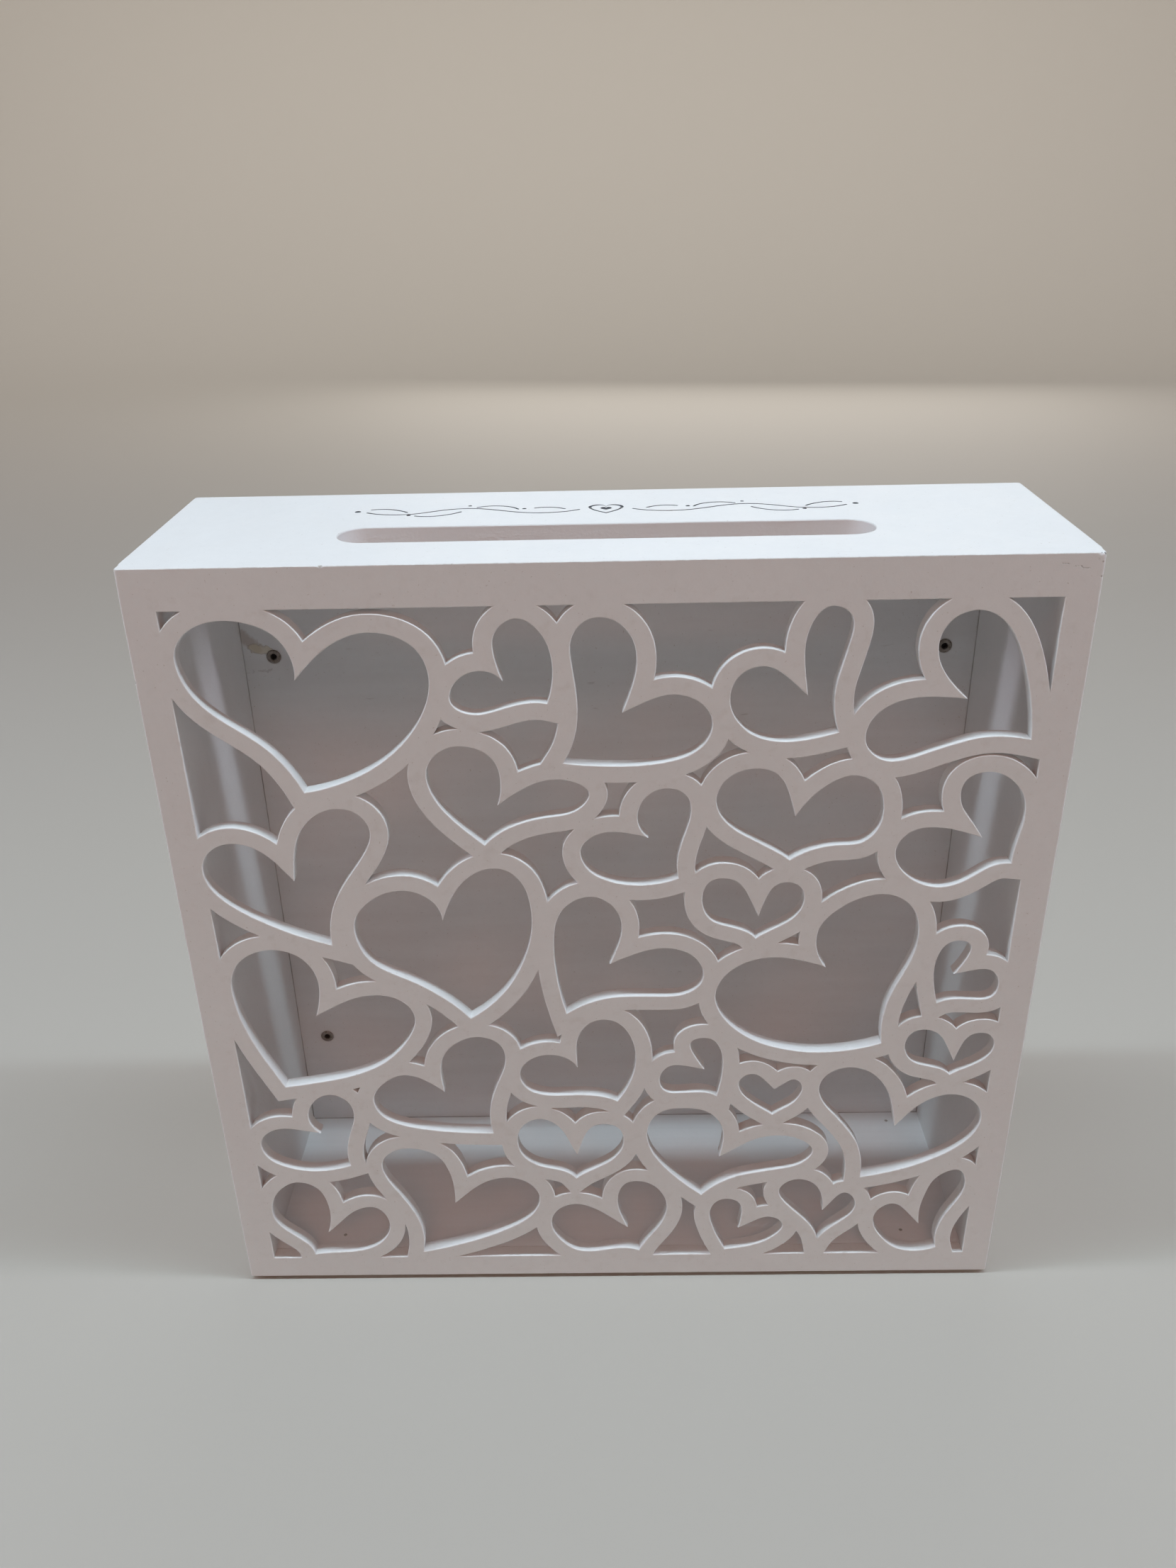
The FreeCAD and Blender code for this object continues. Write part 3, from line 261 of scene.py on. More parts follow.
def front_paint():
    """The fretted front: paint worn through at a few nicks of its edges."""
    s = Shader("front_paint")
    colour, rough, height = paint_base(s, WHITE)
    wobble = s.vec("SCALE", s.noise(0.5, 2.0, 0.6, out=1))
    wobble.node.inputs["Scale"].default_value = 1.6
    moved = s.vec("ADD", s.mm, wobble)
    off = 0.8  # the wobble's own mean, taken off the marks below
    crack = s.either(
        along(s, moved, (138.9 + off, -45.0 + off, 302.6 + off), (142.9 + off, -45.0 + off, 301.5 + off), 0.04, 0.20),
        along(s, moved, (142.9 + off, -45.0 + off, 301.5 + off), (147.7 + off, -45.0 + off, 300.7 + off), 0.06, 0.22))
    crack = s.math("MULTIPLY", crack, s.range(s.noise(0.8, 1.0, 0.5, s.shifted((1.0, 2.0, 3.0))), 0.38, 0.52))
    nicks = s.either(
        s.near((150.0, -45.0, 303.6), 0.10, 0.35),
        s.near((151.4, -45.0, 302.7), 0.12, 0.3),
        s.near((151.7, -44.9, 298.0), 0.16, 0.4),
        s.near((152.4, -44.2, 281.5), 0.14, 0.3),
        s.near((-88.3, -44.9, 305.5), 0.30, 0.7),
        s.near((-152.3, -44.6, 268.0), 0.25, 0.5))
    nicks = s.math("MULTIPLY", nicks, s.range(s.noise(1.6, 1.0, 0.5, s.shifted((4.0, 4.0, 9.0))), 0.35, 0.55, 0.25, 1.0))
    colour = s.mix(s.math("MULTIPLY", crack, 0.55), colour, (0.30, 0.25, 0.21))
    colour = s.mix(s.math("MULTIPLY", nicks, 0.6), colour, (0.30, 0.235, 0.18))
    # painted shade: a near-black wedge at the top right corner, standing in for the shadow inside the open joint
    # between the front and the top board
    open_joint_shade = s.either(
        along(s, moved, (150.6 + off, -45.0 + off, 305.45 + off), (152.3 + off, -44.8 + off, 305.30 + off), 0.10, 0.22),
        along(s, moved, (151.6 + off, -45.0 + off, 305.30 + off), (152.4 + off, -44.6 + off, 305.05 + off), 0.28, 0.22))
    colour = s.mix(open_joint_shade, colour, (0.035, 0.03, 0.025))
    # a thin broken line of grey along the top front edge
    lip = s.all(s.range(s.z, 305.05, 305.30), s.range(s.y, -44.55, -44.75), s.range(s.noise(0.35, 3.0, 0.7, s.shifted((1.0, 9.0, 5.0))), 0.46, 0.60))
    colour = s.mix(s.math("MULTIPLY", lip, 0.16), colour, (0.38, 0.35, 0.34))
    # thin paint on the edges of the cut-outs: a breath of the board's brown
    wear = s.tree.nodes.new("ShaderNodeAttribute")
    wear.attribute_name = "edge"
    thin = s.all(wear.outputs["Fac"], s.range(s.noise(0.22, 3.0, 0.6, s.shifted((40.0, 3.0, 11.0))), 0.56, 0.72))
    colour = s.mix(s.math("MULTIPLY", thin, 0.22), colour, MDF)
    height = s.math("SUBTRACT", height, s.math("MULTIPLY", s.either(crack, nicks), 0.10))
    return finish_paint(s, colour, rough, height)


def board_paint():
    """Boards: the same coat, rougher in the routed slot, thin in the rebate,
    with faint lines where boards meet and dark paint in the engraving."""
    s = Shader("board_paint")
    colour, rough, height = paint_base(s, WHITE)
    # joint lines under the paint
    side = s.range(s.math("ABSOLUTE", s.x), 152.2, 152.4)
    rear = s.range(s.y, 44.7, 44.9)
    over = s.range(s.z, 305.3, 305.5)
    level = s.either(s.within(s.z, 294.95, 295.05, 0.10), s.within(s.z, 12.15, 12.25, 0.10))
    upright = s.within(s.y, -40.05, -39.95, 0.10)
    joint = s.either(s.all(s.either(side, rear), level), s.all(s.either(side, over), upright))
    joint = s.math("MULTIPLY", joint, s.range(s.noise(0.05, 3.0, 0.6, s.shifted((8.0, 6.0, 1.0))), 0.46, 0.62))
    colour = s.mix(s.math("MULTIPLY", joint, 0.20), colour, (0.40, 0.36, 0.31))
    height = s.math("SUBTRACT", height, s.math("MULTIPLY", joint, 0.05))
    # the routed wall of the slot; its colour is painted lighter than the coat elsewhere: painted light
    slot = s.all(
        s.within(s.z, 294.0, 305.0, 0.4),
        s.within(s.x, -90.5, 90.0, 0.3),
        s.within(s.y, -20.6, -0.2, 0.3))
    coarse = s.noise(0.85, 3.0, 0.6, s.shifted((6.0, 2.0, 8.0), (0.8, 1.0, 1.2)))
    low = s.range(s.z, 303.5, 298.0, 0.35, 1.0)
    patch = s.range(s.noise(0.035, 2.0, 0.5, s.shifted((14.0, 2.0, 3.0))), 0.40, 0.60, 0.30, 1.0)
    # painted light: the slot's wall gets a lighter, bluer white so that it looks more brightly lit
    colour = s.mix(slot, colour, (0.95, 0.945, 0.955))
    fuzz = s.all(slot, low, patch)
    height = s.math("ADD", height, s.math("MULTIPLY", s.math("MULTIPLY", coarse, fuzz), 0.24))
    colour = s.mix(s.math("MULTIPLY", fuzz, s.range(coarse, 0.50, 0.75, 0.0, 0.12)), colour, (0.60, 0.55, 0.51))
    rough = s.mix(slot, rough, (0.75, 0.75, 0.75))
    # the rebate and the kerfs got only overspray
    inside = s.all(
        s.range(s.y, 38.45, 38.55),
        s.range(s.math("ABSOLUTE", s.x), 151.9, 151.8),
        s.range(s.y, 44.97, 44.93),
        s.within(s.z, 2.2, 305.0, 0.1))
    # painted shade: a dark line on the side walls' inner faces where they meet the back panel, standing in for the
    # shadow in that joint
    panel_joint_shade = s.all(s.range(s.y, 38.25, 38.45), s.range(s.math("ABSOLUTE", s.x), 142.6, 142.2), s.within(s.z, 11.6, 295.5, 0.2))
    panel_joint_shade = s.math("MULTIPLY", panel_joint_shade, s.range(s.noise(0.08, 3.0, 0.6, s.shifted((12.0, 3.0, 7.0))), 0.35, 0.60, 0.25, 0.65))
    colour = s.mix(panel_joint_shade, colour, (0.16, 0.125, 0.105))
    over_thin = s.math("MULTIPLY", inside, s.range(s.noise(0.16, 4.0, 0.65, s.shifted((5.0, 9.0, 9.0))), 0.36, 0.70, 0.05, 0.42))
    colour = s.mix(over_thin, colour, MDF)
    fibre = s.noise(1.6, 3.0, 0.65, s.shifted((2.0, 2.0, 6.0), (1.0, 3.0, 1.0)))
    height = s.math("ADD", height, s.math("MULTIPLY", s.math("MULTIPLY", fibre, inside), 0.12))
    # the underside stands on a bench while it is painted: a thinner coat
    under = s.range(s.z, 1.75, 1.65)
    colour = s.mix(s.math("MULTIPLY", under, s.range(s.noise(0.05, 4.0, 0.6, s.shifted((1.0, 1.0, 1.0))), 0.40, 0.70, 0.0, 0.45)), colour, MDF)
    # brush marks on the floor inside; the floor's colour is also painted lighter and bluer than the coat elsewhere:
    # painted light
    floor = s.all(s.within(s.z, 12.1, 12.3, 0.05), s.range(s.math("ABSOLUTE", s.x), 142.0, 141.8))
    brush_and_painted_light = s.noise(0.35, 2.0, 0.5, s.shifted((3.0, 3.0, 3.0), (0.02, 1.0, 1.0)))
    height = s.math("ADD", height, s.math("MULTIPLY", s.math("MULTIPLY", brush_and_painted_light, floor), 0.05))
    colour = s.mix(s.math("MULTIPLY", floor, s.range(brush_and_painted_light, 0.30, 0.70, 0.9, 0.6)), colour, (0.92, 0.935, 0.955))
    # the engraved ornament is filled with dark slate paint
    cut = s.all(
        s.within(s.z, 305.0, 305.53, 0.04),
        s.within(s.x, -95.0, 95.0, 0.5),
        s.within(s.y, 8.0, 29.0, 0.5))
    slate = s.mix(s.range(s.noise(0.9, 2.0, 0.5), 0.35, 0.65), (0.070, 0.080, 0.095), (0.105, 0.118, 0.135))
    colour = s.mix(cut, colour, slate)
    rough = s.mix(cut, rough, (0.35, 0.35, 0.35))
    return finish_paint(s, colour, rough, height)


def panel_paint():
    """The thin back panel: a duller coat with a smear of old glue beside one rivet, scuffs, and a darker mottled ring
    round each rivet."""
    s = Shader("panel_paint")
    colour, rough, height = paint_base(s, (0.85, 0.865, 0.88))
    streak = s.noise(0.10, 3.0, 0.55, s.shifted((3.0, 7.0, 3.0), (0.12, 1.0, 1.0)))
    colour = s.mix(s.range(streak, 0.35, 0.70, 0.0, 0.16), colour, (0.60, 0.56, 0.55))
    inner = s.range(s.y, 39.4, 39.2)
    warp = s.vec("SCALE", s.noise(0.28, 3.0, 0.65, out=1))
    warp.node.inputs["Scale"].default_value = 5.0
    moved = s.vec("ADD", s.mm, warp)
    o = 2.5
    film = s.all(along(s, moved, (-141.2 + o, 38.7 + o, 253.4 + o), (-136.5 + o, 38.7 + o, 248.3 + o), 1.2, 1.8), inner)
    smear = s.all(along(s, moved, (-137.6 + o, 38.7 + o, 248.3 + o), (-132.4 + o, 38.7 + o, 247.0 + o), 1.35, 0.9), inner)
    rim = s.all(s.range(smear, 0.02, 0.30), s.range(smear, 0.90, 0.50))
    colour = s.mix(s.math("MULTIPLY", film, 0.62), colour, (0.50, 0.42, 0.375))
    colour = s.mix(s.math("MULTIPLY", smear, 0.58), colour, (0.70, 0.63, 0.46))
    colour = s.mix(s.math("MULTIPLY", rim, 0.38), colour, (0.36, 0.28, 0.22))
    height = s.math("ADD", height, s.math("MULTIPLY", smear, 0.18))
    dots = [(x, 38.7, z) for x in (-130.0, 130.0) for z in (60.6, 244.6)]
    # darker and mottled in a ring round each rivet
    rivet_ring_dark = s.either(*[s.near(p, 2.9, 0.6) for p in dots])
    rivet_ring_dark = s.math("MULTIPLY", rivet_ring_dark, s.range(s.noise(0.5, 3.0, 0.6), 0.35, 0.65, 0.04, 0.30))
    colour = s.mix(rivet_ring_dark, colour, (0.34, 0.30, 0.27))
    scuff = s.either(
        along(s, moved, (-138.5 + o, 38.7 + o, 238.6 + o), (-131.0 + o, 38.7 + o, 238.9 + o), 0.15, 0.5),
        s.all(s.range(s.noise(0.33, 2.0, 0.5, s.shifted((9.0, 9.0, 1.0), (0.3, 1.0, 1.3))), 0.74, 0.80)))
    colour = s.mix(s.math("MULTIPLY", s.math("MULTIPLY", scuff, inner), 0.30), colour, (0.33, 0.28, 0.27))
    # painted shade along its edges where it meets the boards
    board_joint_shade = s.all(
        s.range(s.y, 39.4, 39.2),
        s.either(s.within(s.math("ABSOLUTE", s.x), 141.65, 146.0, 0.12), s.within(s.z, 8.0, 12.45, 0.12), s.within(s.z, 294.75, 299.0, 0.12)))
    board_joint_shade = s.math("MULTIPLY", board_joint_shade, s.range(s.noise(0.07, 3.0, 0.6, s.shifted((2.0, 13.0, 7.0))), 0.35, 0.60, 0.20, 0.60))
    colour = s.mix(board_joint_shade, colour, (0.17, 0.13, 0.11))
    # its back face and edges show some of the board through the paint
    back = s.range(s.y, 41.55, 41.68)
    hair = s.noise(1.1, 4.0, 0.65, s.shifted((7.0, 1.0, 4.0), (0.35, 1.0, 1.2)))
    worn = s.range(s.noise(0.022, 3.0, 0.55, s.shifted((7.0, 1.0, 4.0))), 0.35, 0.70, 0.35, 1.0)
    colour = s.mix(s.all(back, worn, s.range(hair, 0.48, 0.76, 0.0, 0.15)), colour, MDF)
    height = s.math("ADD", height, s.math("MULTIPLY", s.all(back, hair), 0.05))
    rough = s.mix(smear, rough, (0.30, 0.30, 0.30))
    return finish_paint(s, colour, rough, height)


def steel(name, light, dark, rough, scratch=0.04, stain=None, painted_shade_bores=None):
    s = Shader(name)
    s.bsdf.inputs["Metallic"].default_value = 1.0
    grain = s.noise(2.2, 3.0, 0.6, s.shifted((1.0, 4.0, 2.0), (1.0, 1.0, 0.25)))
    blot = s.noise(0.35, 4.0, 0.6, s.shifted((6.0, 3.0, 8.0)))
    colour = s.mix(s.range(blot, 0.35, 0.68), light, dark)
    colour = s.mix(s.range(grain, 0.3, 0.7, 0.0, 0.35), colour, dark)
    if stain:
        rust = s.range(s.noise(0.7, 4.0, 0.65, s.shifted((2.0, 2.0, 9.0))), 0.50, 0.66)
        colour = s.mix(s.math("MULTIPLY", rust, 0.75), colour, stain)
    # painted shade: the rivets' bores are coloured near black, standing in for the shade inside them; the rivet is then
    # not metallic
    if painted_shade_bores:
        s.bsdf.inputs["Metallic"].default_value = 0.0
        deep = s.all(s.either(*[s.near((x, 41.0, z), 1.24, 0.02, axis_y=True) for x, z in painted_shade_bores]), s.within(s.y, 38.30, 42.0, 0.15))
        colour = s.mix(deep, colour, (0.006, 0.005, 0.005))
    s.put(s.bsdf.inputs["Base Color"], colour)
    s.put(s.bsdf.inputs["Roughness"], s.range(blot, 0.3, 0.7, rough - 0.08, rough + 0.12))
    height = s.math("ADD", s.math("MULTIPLY", grain, scratch), s.math("MULTIPLY", blot, scratch))
    s.put(s.bsdf.inputs["Normal"], s.bump(height, 1.0, MM))
    return s.mat


def glide_plastic():
    s = Shader("glide_plastic")
    mottled = s.noise(0.8, 3.0, 0.6)
    colour = s.mix(s.range(mottled, 0.3, 0.7), (0.055, 0.052, 0.050), (0.085, 0.080, 0.076))
    worn = s.range(s.z, 0.10, 0.02)
    rub = s.math("MULTIPLY", worn, s.range(s.noise(1.1, 3.0, 0.6, s.shifted((3.0, 1.0, 2.0), (1.0, 0.3, 1.0))), 0.35, 0.65))
    colour = s.mix(s.math("MULTIPLY", rub, 0.5), colour, (0.20, 0.19, 0.18))
    s.put(s.bsdf.inputs["Base Color"], colour)
    s.put(s.bsdf.inputs["Roughness"], s.range(mottled, 0.3, 0.7, 0.42, 0.60))
    s.put(s.bsdf.inputs["Normal"], s.bump(s.math("MULTIPLY", mottled, 0.04), 1.0, MM))
    return s.mat


# ----------------------------------------------------------------- mesh helper
def new_piece(name, mesh, body, replaces=(), materials=()):
    obj = bpy.data.objects.new(name, mesh)
    scene.collection.objects.link(obj)
    for m in materials:
        mesh.materials.append(m)
    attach(obj, body)
    if replaces:
        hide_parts(*replaces)
    return obj


def face_outlines(obj, axis, value):
    """Closed outlines of the flat face of a CAD node in the plane
    axis = value, as lists of (x, z) mm, the material on their left."""
    bm = bmesh.new()
    bm.from_mesh(obj.data)
    bmesh.ops.remove_doubles(bm, verts=bm.verts, dist=2e-6)
    flat = {f.index for f in bm.faces if all(abs(v.co[axis] - value) < 5e-6 for v in f.verts)}
    follow = {}
    for e in bm.edges:
        inside = [f for f in e.link_faces if f.index in flat]
        if len(inside) == 1:
            for l in inside[0].loops:
                if l.edge == e:
                    follow[l.vert.index] = l.link_loop_next.vert.index
    bm.verts.ensure_lookup_table()
    place = {i: (bm.verts[i].co.x / MM, bm.verts[i].co.z / MM) for i in follow}
    bm.free()
    loops = []
    while follow:
        start, at = next(iter(follow)), None
        run, at = [], start
        while at in follow:
            run.append(place[at])
            at = follow.pop(at)
        loops.append(np.array(run))
    return loops


def area(p):
    q = np.roll(p, -1, axis=0)
    return 0.5 * float(np.sum(p[:, 0] * q[:, 1] - q[:, 0] * p[:, 1]))


def respaced(p, step, corner_deg=25.0):
    """The closed outline p at an even spacing of about step, its corners
    kept; returns points and a flag for each that is a corner."""
    d = np.roll(p, -1, axis=0) - p
    keep = np.hypot(d[:, 0], d[:, 1]) > 1e-4
    p = p[keep]
    d = np.roll(p, -1, axis=0) - p
    a = np.arctan2(d[:, 1], d[:, 0])
    turn = (a - np.roll(a, 1) + math.pi) % (2 * math.pi) - math.pi
    sharp = np.nonzero(np.abs(turn) > math.radians(corner_deg))[0]
    if len(sharp) == 0:
        sharp = np.array([0])
        marks = [False]
    else:
        marks = [True] * len(sharp)
    out, flags = [], []
    n = len(p)
    for k, i in enumerate(sharp):
        j = sharp[(k + 1) % len(sharp)]
        idx = [(i + m) % n for m in range(((j - i) % n or n) + 1)]
        run = p[idx]
        s = np.r_[0, np.cumsum(np.hypot(*np.diff(run, axis=0).T))]
        m = max(1, int(round(s[-1] / step)))
        t = np.linspace(0, s[-1], m + 1)[:-1]
        out.append(np.c_[np.interp(t, s, run[:, 0]), np.interp(t, s, run[:, 1])])
        flags += [marks[k]] + [False] * (m - 1)
    return np.vstack(out), np.array(flags)


def normals_of(p, flags):
    """Unit normals into the material (left of the outline) before and after
    each point, and the offset vector there."""
    d = np.roll(p, -1, axis=0) - p
    d /= np.hypot(d[:, 0], d[:, 1])[:, None]
    after = np.c_[-d[:, 1], d[:, 0]]
    before = np.roll(after, 1, axis=0)
    mean = after + before
    mean /= np.hypot(mean[:, 0], mean[:, 1])[:, None]
    cosine = np.clip(np.sum(mean * after, axis=1), 0.38, 1.0)
    offset = mean / cosine[:, None]
    after = np.where(flags[:, None], after, mean)
    before = np.where(flags[:, None], before, mean)
    return before, after, offset


class Mesher:
    """Collects vertices and faces with a normal for every face corner."""

    def __init__(self):
        self.v, self.f, self.n, self.m, self.edge = [], [], [], [], []

    def points(self, co, edge=0.0):
        base = len(self.v)
        self.v.extend(map(tuple, co))
        self.edge.extend([edge] * len(co))
        return base

    def face(self, idx, normals, material=0):
        self.f.append(tuple(idx))
        self.n.extend(map(tuple, normals))
        self.m.append(material)

    def strip(self, ring_a, ring_b, na_before, na_after, nb_before, nb_after, material=0):
        """Quads between two closed rings of vertex numbers, ring_a nearer
        the front; normals are given for both sides of every point."""
        n = len(ring_a)
        for i in range(n):
            j = (i + 1) % n
            self.face(
                (ring_b[i], ring_b[j], ring_a[j], ring_a[i]),
                (nb_after[i], nb_before[j], na_before[j], na_after[i]),
                material,
            )

    def mesh(self, name):
        me = bpy.data.meshes.new(name)
        me.from_pydata([Vector(c) * MM for c in self.v], [], self.f)
        me.polygons.foreach_set("material_index", self.m)
        me.polygons.foreach_set("use_smooth", [True] * len(self.f))
        me.update()
        me.attributes.new("edge", "FLOAT", "POINT").data.foreach_set("value", self.edge)
        me.normals_split_custom_set([Vector(n).normalized() for n in self.n])
        return me


def fill_between(rings):
    """Triangles of the region whose outlines are rings (lists of (number,
    x, z)), the region on the left of each, as vertex numbers."""
    ids, co, edges = [], [], []
    for ring in rings:
        base = len(ids)
        m = len(ring)
        for k, (i, x, z) in enumerate(ring):
            ids.append(i)
            co.append(Vector((x, z)))
            edges.append((base + k, base + (k + 1) % m))
    verts, _, faces, orig, _, _ = geometry.delaunay_2d_cdt(co, edges, [], 0, 1e-7, True)
    back = [o[0] if o else None for o in orig]
    if any(b is None for b in back) or len(verts) != len(co):
        for k in range(len(co), len(verts)):
            print("crossing near", tuple(round(c, 2) for c in verts[k]))
        raise RuntimeError("outlines of the fretwork cross: %d and %d" % (len(verts), len(co)))
    tris = [tuple(back[i] for i in f) for f in faces]
    wall = set(edges)
    owner = {}
    for t, (a, b, c) in enumerate(tris):
        for e in ((a, b), (b, c), (c, a)):
            owner[e] = t
    state = {}
    stack = []
    for e in wall:
        if e in owner:
            state[owner[e]] = True
            stack.append(owner[e])
        if (e[1], e[0]) in owner:
            state[owner[(e[1], e[0])]] = False
    while stack:
        t = stack.pop()
        a, b, c = tris[t]
        for e in ((a, b), (b, c), (c, a)):
            if e in wall or (e[1], e[0]) in wall:
                continue
            o = owner.get((e[1], e[0]))
            if o is not None and o not in state:
                state[o] = True
                stack.append(o)
    return [tuple(ids[i] for i in tris[t]) for t, inside in state.items() if inside]


# ------------------------------------------------------------- fretted front
def side_round(depth, radius):
    """How far a quarter-round edge stands in at this depth."""
    if depth >= radius:
        return 0.0
    return radius - math.sqrt(max(0.0, radius * radius - (radius - depth) ** 2))


def build_front():
    lo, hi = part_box("front_lattice")
    x0, x1 = lo.x / MM, hi.x / MM
    z0, z1 = lo.z / MM, hi.z / MM
    yf, yb = lo.y / MM, hi.y / MM
    loops = face_outlines(nodes["front_lattice"], 1, lo.y)
    holes = [p for p in loops if area(p) < 0]
    print("fretwork: holes", len(holes), "outer", len(loops) - len(holes))
    m = Mesher()
    front_rings, back_rings = [], []
    angles = [0.0, 22.0, 45.0, 68.0, 90.0]
    for p in holes:
        p, flags = respaced(p, 0.9)
        before, after, offset = normals_of(p, flags)
        radius = np.array([
            0.40 + 0.09 * noise.noise(Vector((x * 0.11, 3.1, z * 0.11)))
            + 0.05 * noise.noise(Vector((x * 0.5, 9.1, z * 0.5)))
            for x, z in p
        ])
        # a thin point of wood has no room for the full round: it gets less
        mean = before + after
        mean /= np.maximum(1e-9, np.hypot(mean[:, 0], mean[:, 1]))[:, None]
        apart = p[None, :, :] - p[:, None, :]
        ahead = np.einsum("ijk,ik->ij", apart, mean)
        square = np.sum(apart * apart, axis=2)
        ball = np.min(np.where(ahead > 1e-6, square / (2 * np.maximum(ahead, 1e-6)), 99.0), axis=1)
        radius = np.where(flags, radius, np.minimum(radius, np.maximum(0.04, 0.8 * ball)))
        beside = np.minimum(np.roll(radius, 1), np.roll(radius, -1))
        radius = np.where(flags, np.minimum(radius, beside), radius)
        run = np.roll(p, -1, axis=0) - p
        for _ in range(40):
            q = p + offset * radius[:, None]
            back = np.sum((np.roll(q, -1, axis=0) - q) * run, axis=1) < 0.12 * np.sum(run * run, axis=1)
            if not back.any():
                break
            radius = np.where(back | np.roll(back, 1), radius * 0.8, radius)
        rings = []

        def ring(inset, depth, cos_a, sin_a, side):
            q = p + offset * inset[:, None]
            y = yf + depth if side < 0 else yb - depth
            base = m.points(np.c_[q[:, 0], y, q[:, 1]], 1.0 if 0.01 < sin_a < 0.99 else 0.35)
            nb = np.c_[-before[:, 0] * sin_a, np.full(len(p), side * cos_a), -before[:, 1] * sin_a]
            na = np.c_[-after[:, 0] * sin_a, np.full(len(p), side * cos_a), -after[:, 1] * sin_a]
            rings.append((list(range(base, base + len(p))), nb, na, q))

        for a in angles:
            t = math.radians(a)
            ring(radius * (1 - math.sin(t)), radius * (1 - math.cos(t)), math.cos(t), math.sin(t), -1)
        for a in (90.0, 45.0, 0.0):
            t = math.radians(a)
            small = radius * 0.5
            ring(small * (1 - math.sin(t)), small * (1 - math.cos(t)), math.cos(t), math.sin(t), 1)
        for a, b in zip(rings, rings[1:]):
            m.strip(a[0], b[0], a[1], a[2], b[1], b[2])
        front_rings.append([(i, q[0], q[1]) for i, q in zip(rings[0][0], rings[0][3])])
        back_rings.append([(i, q[0], q[1]) for i, q in zip(rings[-1][0], rings[-1][3])][::-1])

    # the outside: a rounded rectangle whose upright edges are eased more than
    # its top and bottom ones
    rc = 0.5
    zm = (z0 + z1) / 2
    cx0, cx1, cz0, cz1 = x0 + rc, x1 - rc, z0 + rc, z1 - rc
    around = []
    for (ax, az), (bx, bz), ang in (
        ((cx0, z0), (cx1, z0), -90), ((x1, cz0), (x1, cz1), 0),
        ((cx1, z1), (cx0, z1), 90), ((x0, cz1), (x0, cz0), 180),
    ):
        steps = int(math.hypot(bx - ax, bz - az) / 1.0)
        for k in range(steps + 1):
            f = k / steps
            around.append((ax + (bx - ax) * f, az + (bz - az) * f, math.radians(ang)))
        ccx, ccz = bx - rc * math.cos(math.radians(ang)), bz - rc * math.sin(math.radians(ang))
        for k in (1, 2, 3):
            t = math.radians(ang + 90 * k / 4)
            around.append((ccx + rc * math.cos(t), ccz + rc * math.sin(t), t))
    depths = [0.0, 0.03, 0.09, 0.18, 0.32, 0.55, 0.85, 1.2, yb - yf]
    outer = []
    for depth in depths:
        co, nn = [], []
        for x, z, t in around:
            cs, sn = math.cos(t), math.sin(t)
            top_r = 0.38 + 0.10 * noise.noise(Vector((x * 0.21, 1.7, z * 0.21))) + 0.08 * noise.noise(Vector((x * 0.9, 4.7, z * 0.9)))
            side_r = 0.80 + 0.35 * math.exp(-(z1 - z) / 9.0) + 0.12 * noise.noise(Vector((x * 0.05, 8.7, z * 0.06)))
            # a chip out of the top right corner, and two small dents
            for (qx, qz), reach, deep in (((152.2, 305.5), 1.5, 0.9), ((-88.3, 305.6), 1.3, 0.45), ((152.5, 302.7), 0.8, 0.4), ((152.5, 298.0), 0.9, 0.4), ((152.5, 281.5), 0.8, 0.3), ((-152.5, 268.0), 0.9, 0.3)):
                near = math.hypot(x - qx, z - qz)
                if near < reach:
                    top_r += deep * (1 - near / reach) ** 0.7
                    side_r += deep * (1 - near / reach) ** 0.7
            wx = min(1.0, max(0.0, (abs(x) - (x1 - 6.0)) / (6.0 - rc)))
            wz = min(1.0, max(0.0, (abs(z - zm) - (z1 - zm - 6.0)) / (6.0 - rc)))
            ix, iz = side_round(depth, side_r) * wx, side_round(depth, top_r) * wz
            co.append((x - math.copysign(ix, x), yf + depth, z - math.copysign(iz, z - zm)))
            cos_s, cos_t = max(0.0, 1 - depth / side_r), max(0.0, 1 - depth / top_r)
            c = cs * cs * cos_s + sn * sn * cos_t
            w = math.sqrt(max(0.0, 1 - c * c))
            nn.append((cs * w, -c, sn * w))
        base = m.points(co)
        outer.append((list(range(base, base + len(co))), np.array(nn), co))
    for a, b in zip(outer, outer[1:]):
        m.strip(a[0], b[0], a[1], a[1], b[1], b[1])
    front_rings.append([(i, c[0], c[2]) for i, c in zip(outer[0][0], outer[0][2])])
    back_rings.append([(i, c[0], c[2]) for i, c in zip(outer[-1][0], outer[-1][2])])
    for tri in fill_between(front_rings):
        m.face(tri, ((0, -1, 0),) * 3)
    rings = [r[::-1] for r in back_rings[:-1]] + [back_rings[-1]]
    for tri in fill_between(rings):
        m.face(tri[::-1], ((0, 1, 0),) * 3)
    # the last outer ring keeps its side normals; the joint behind it is glued
    return m.mesh("fretted_front")


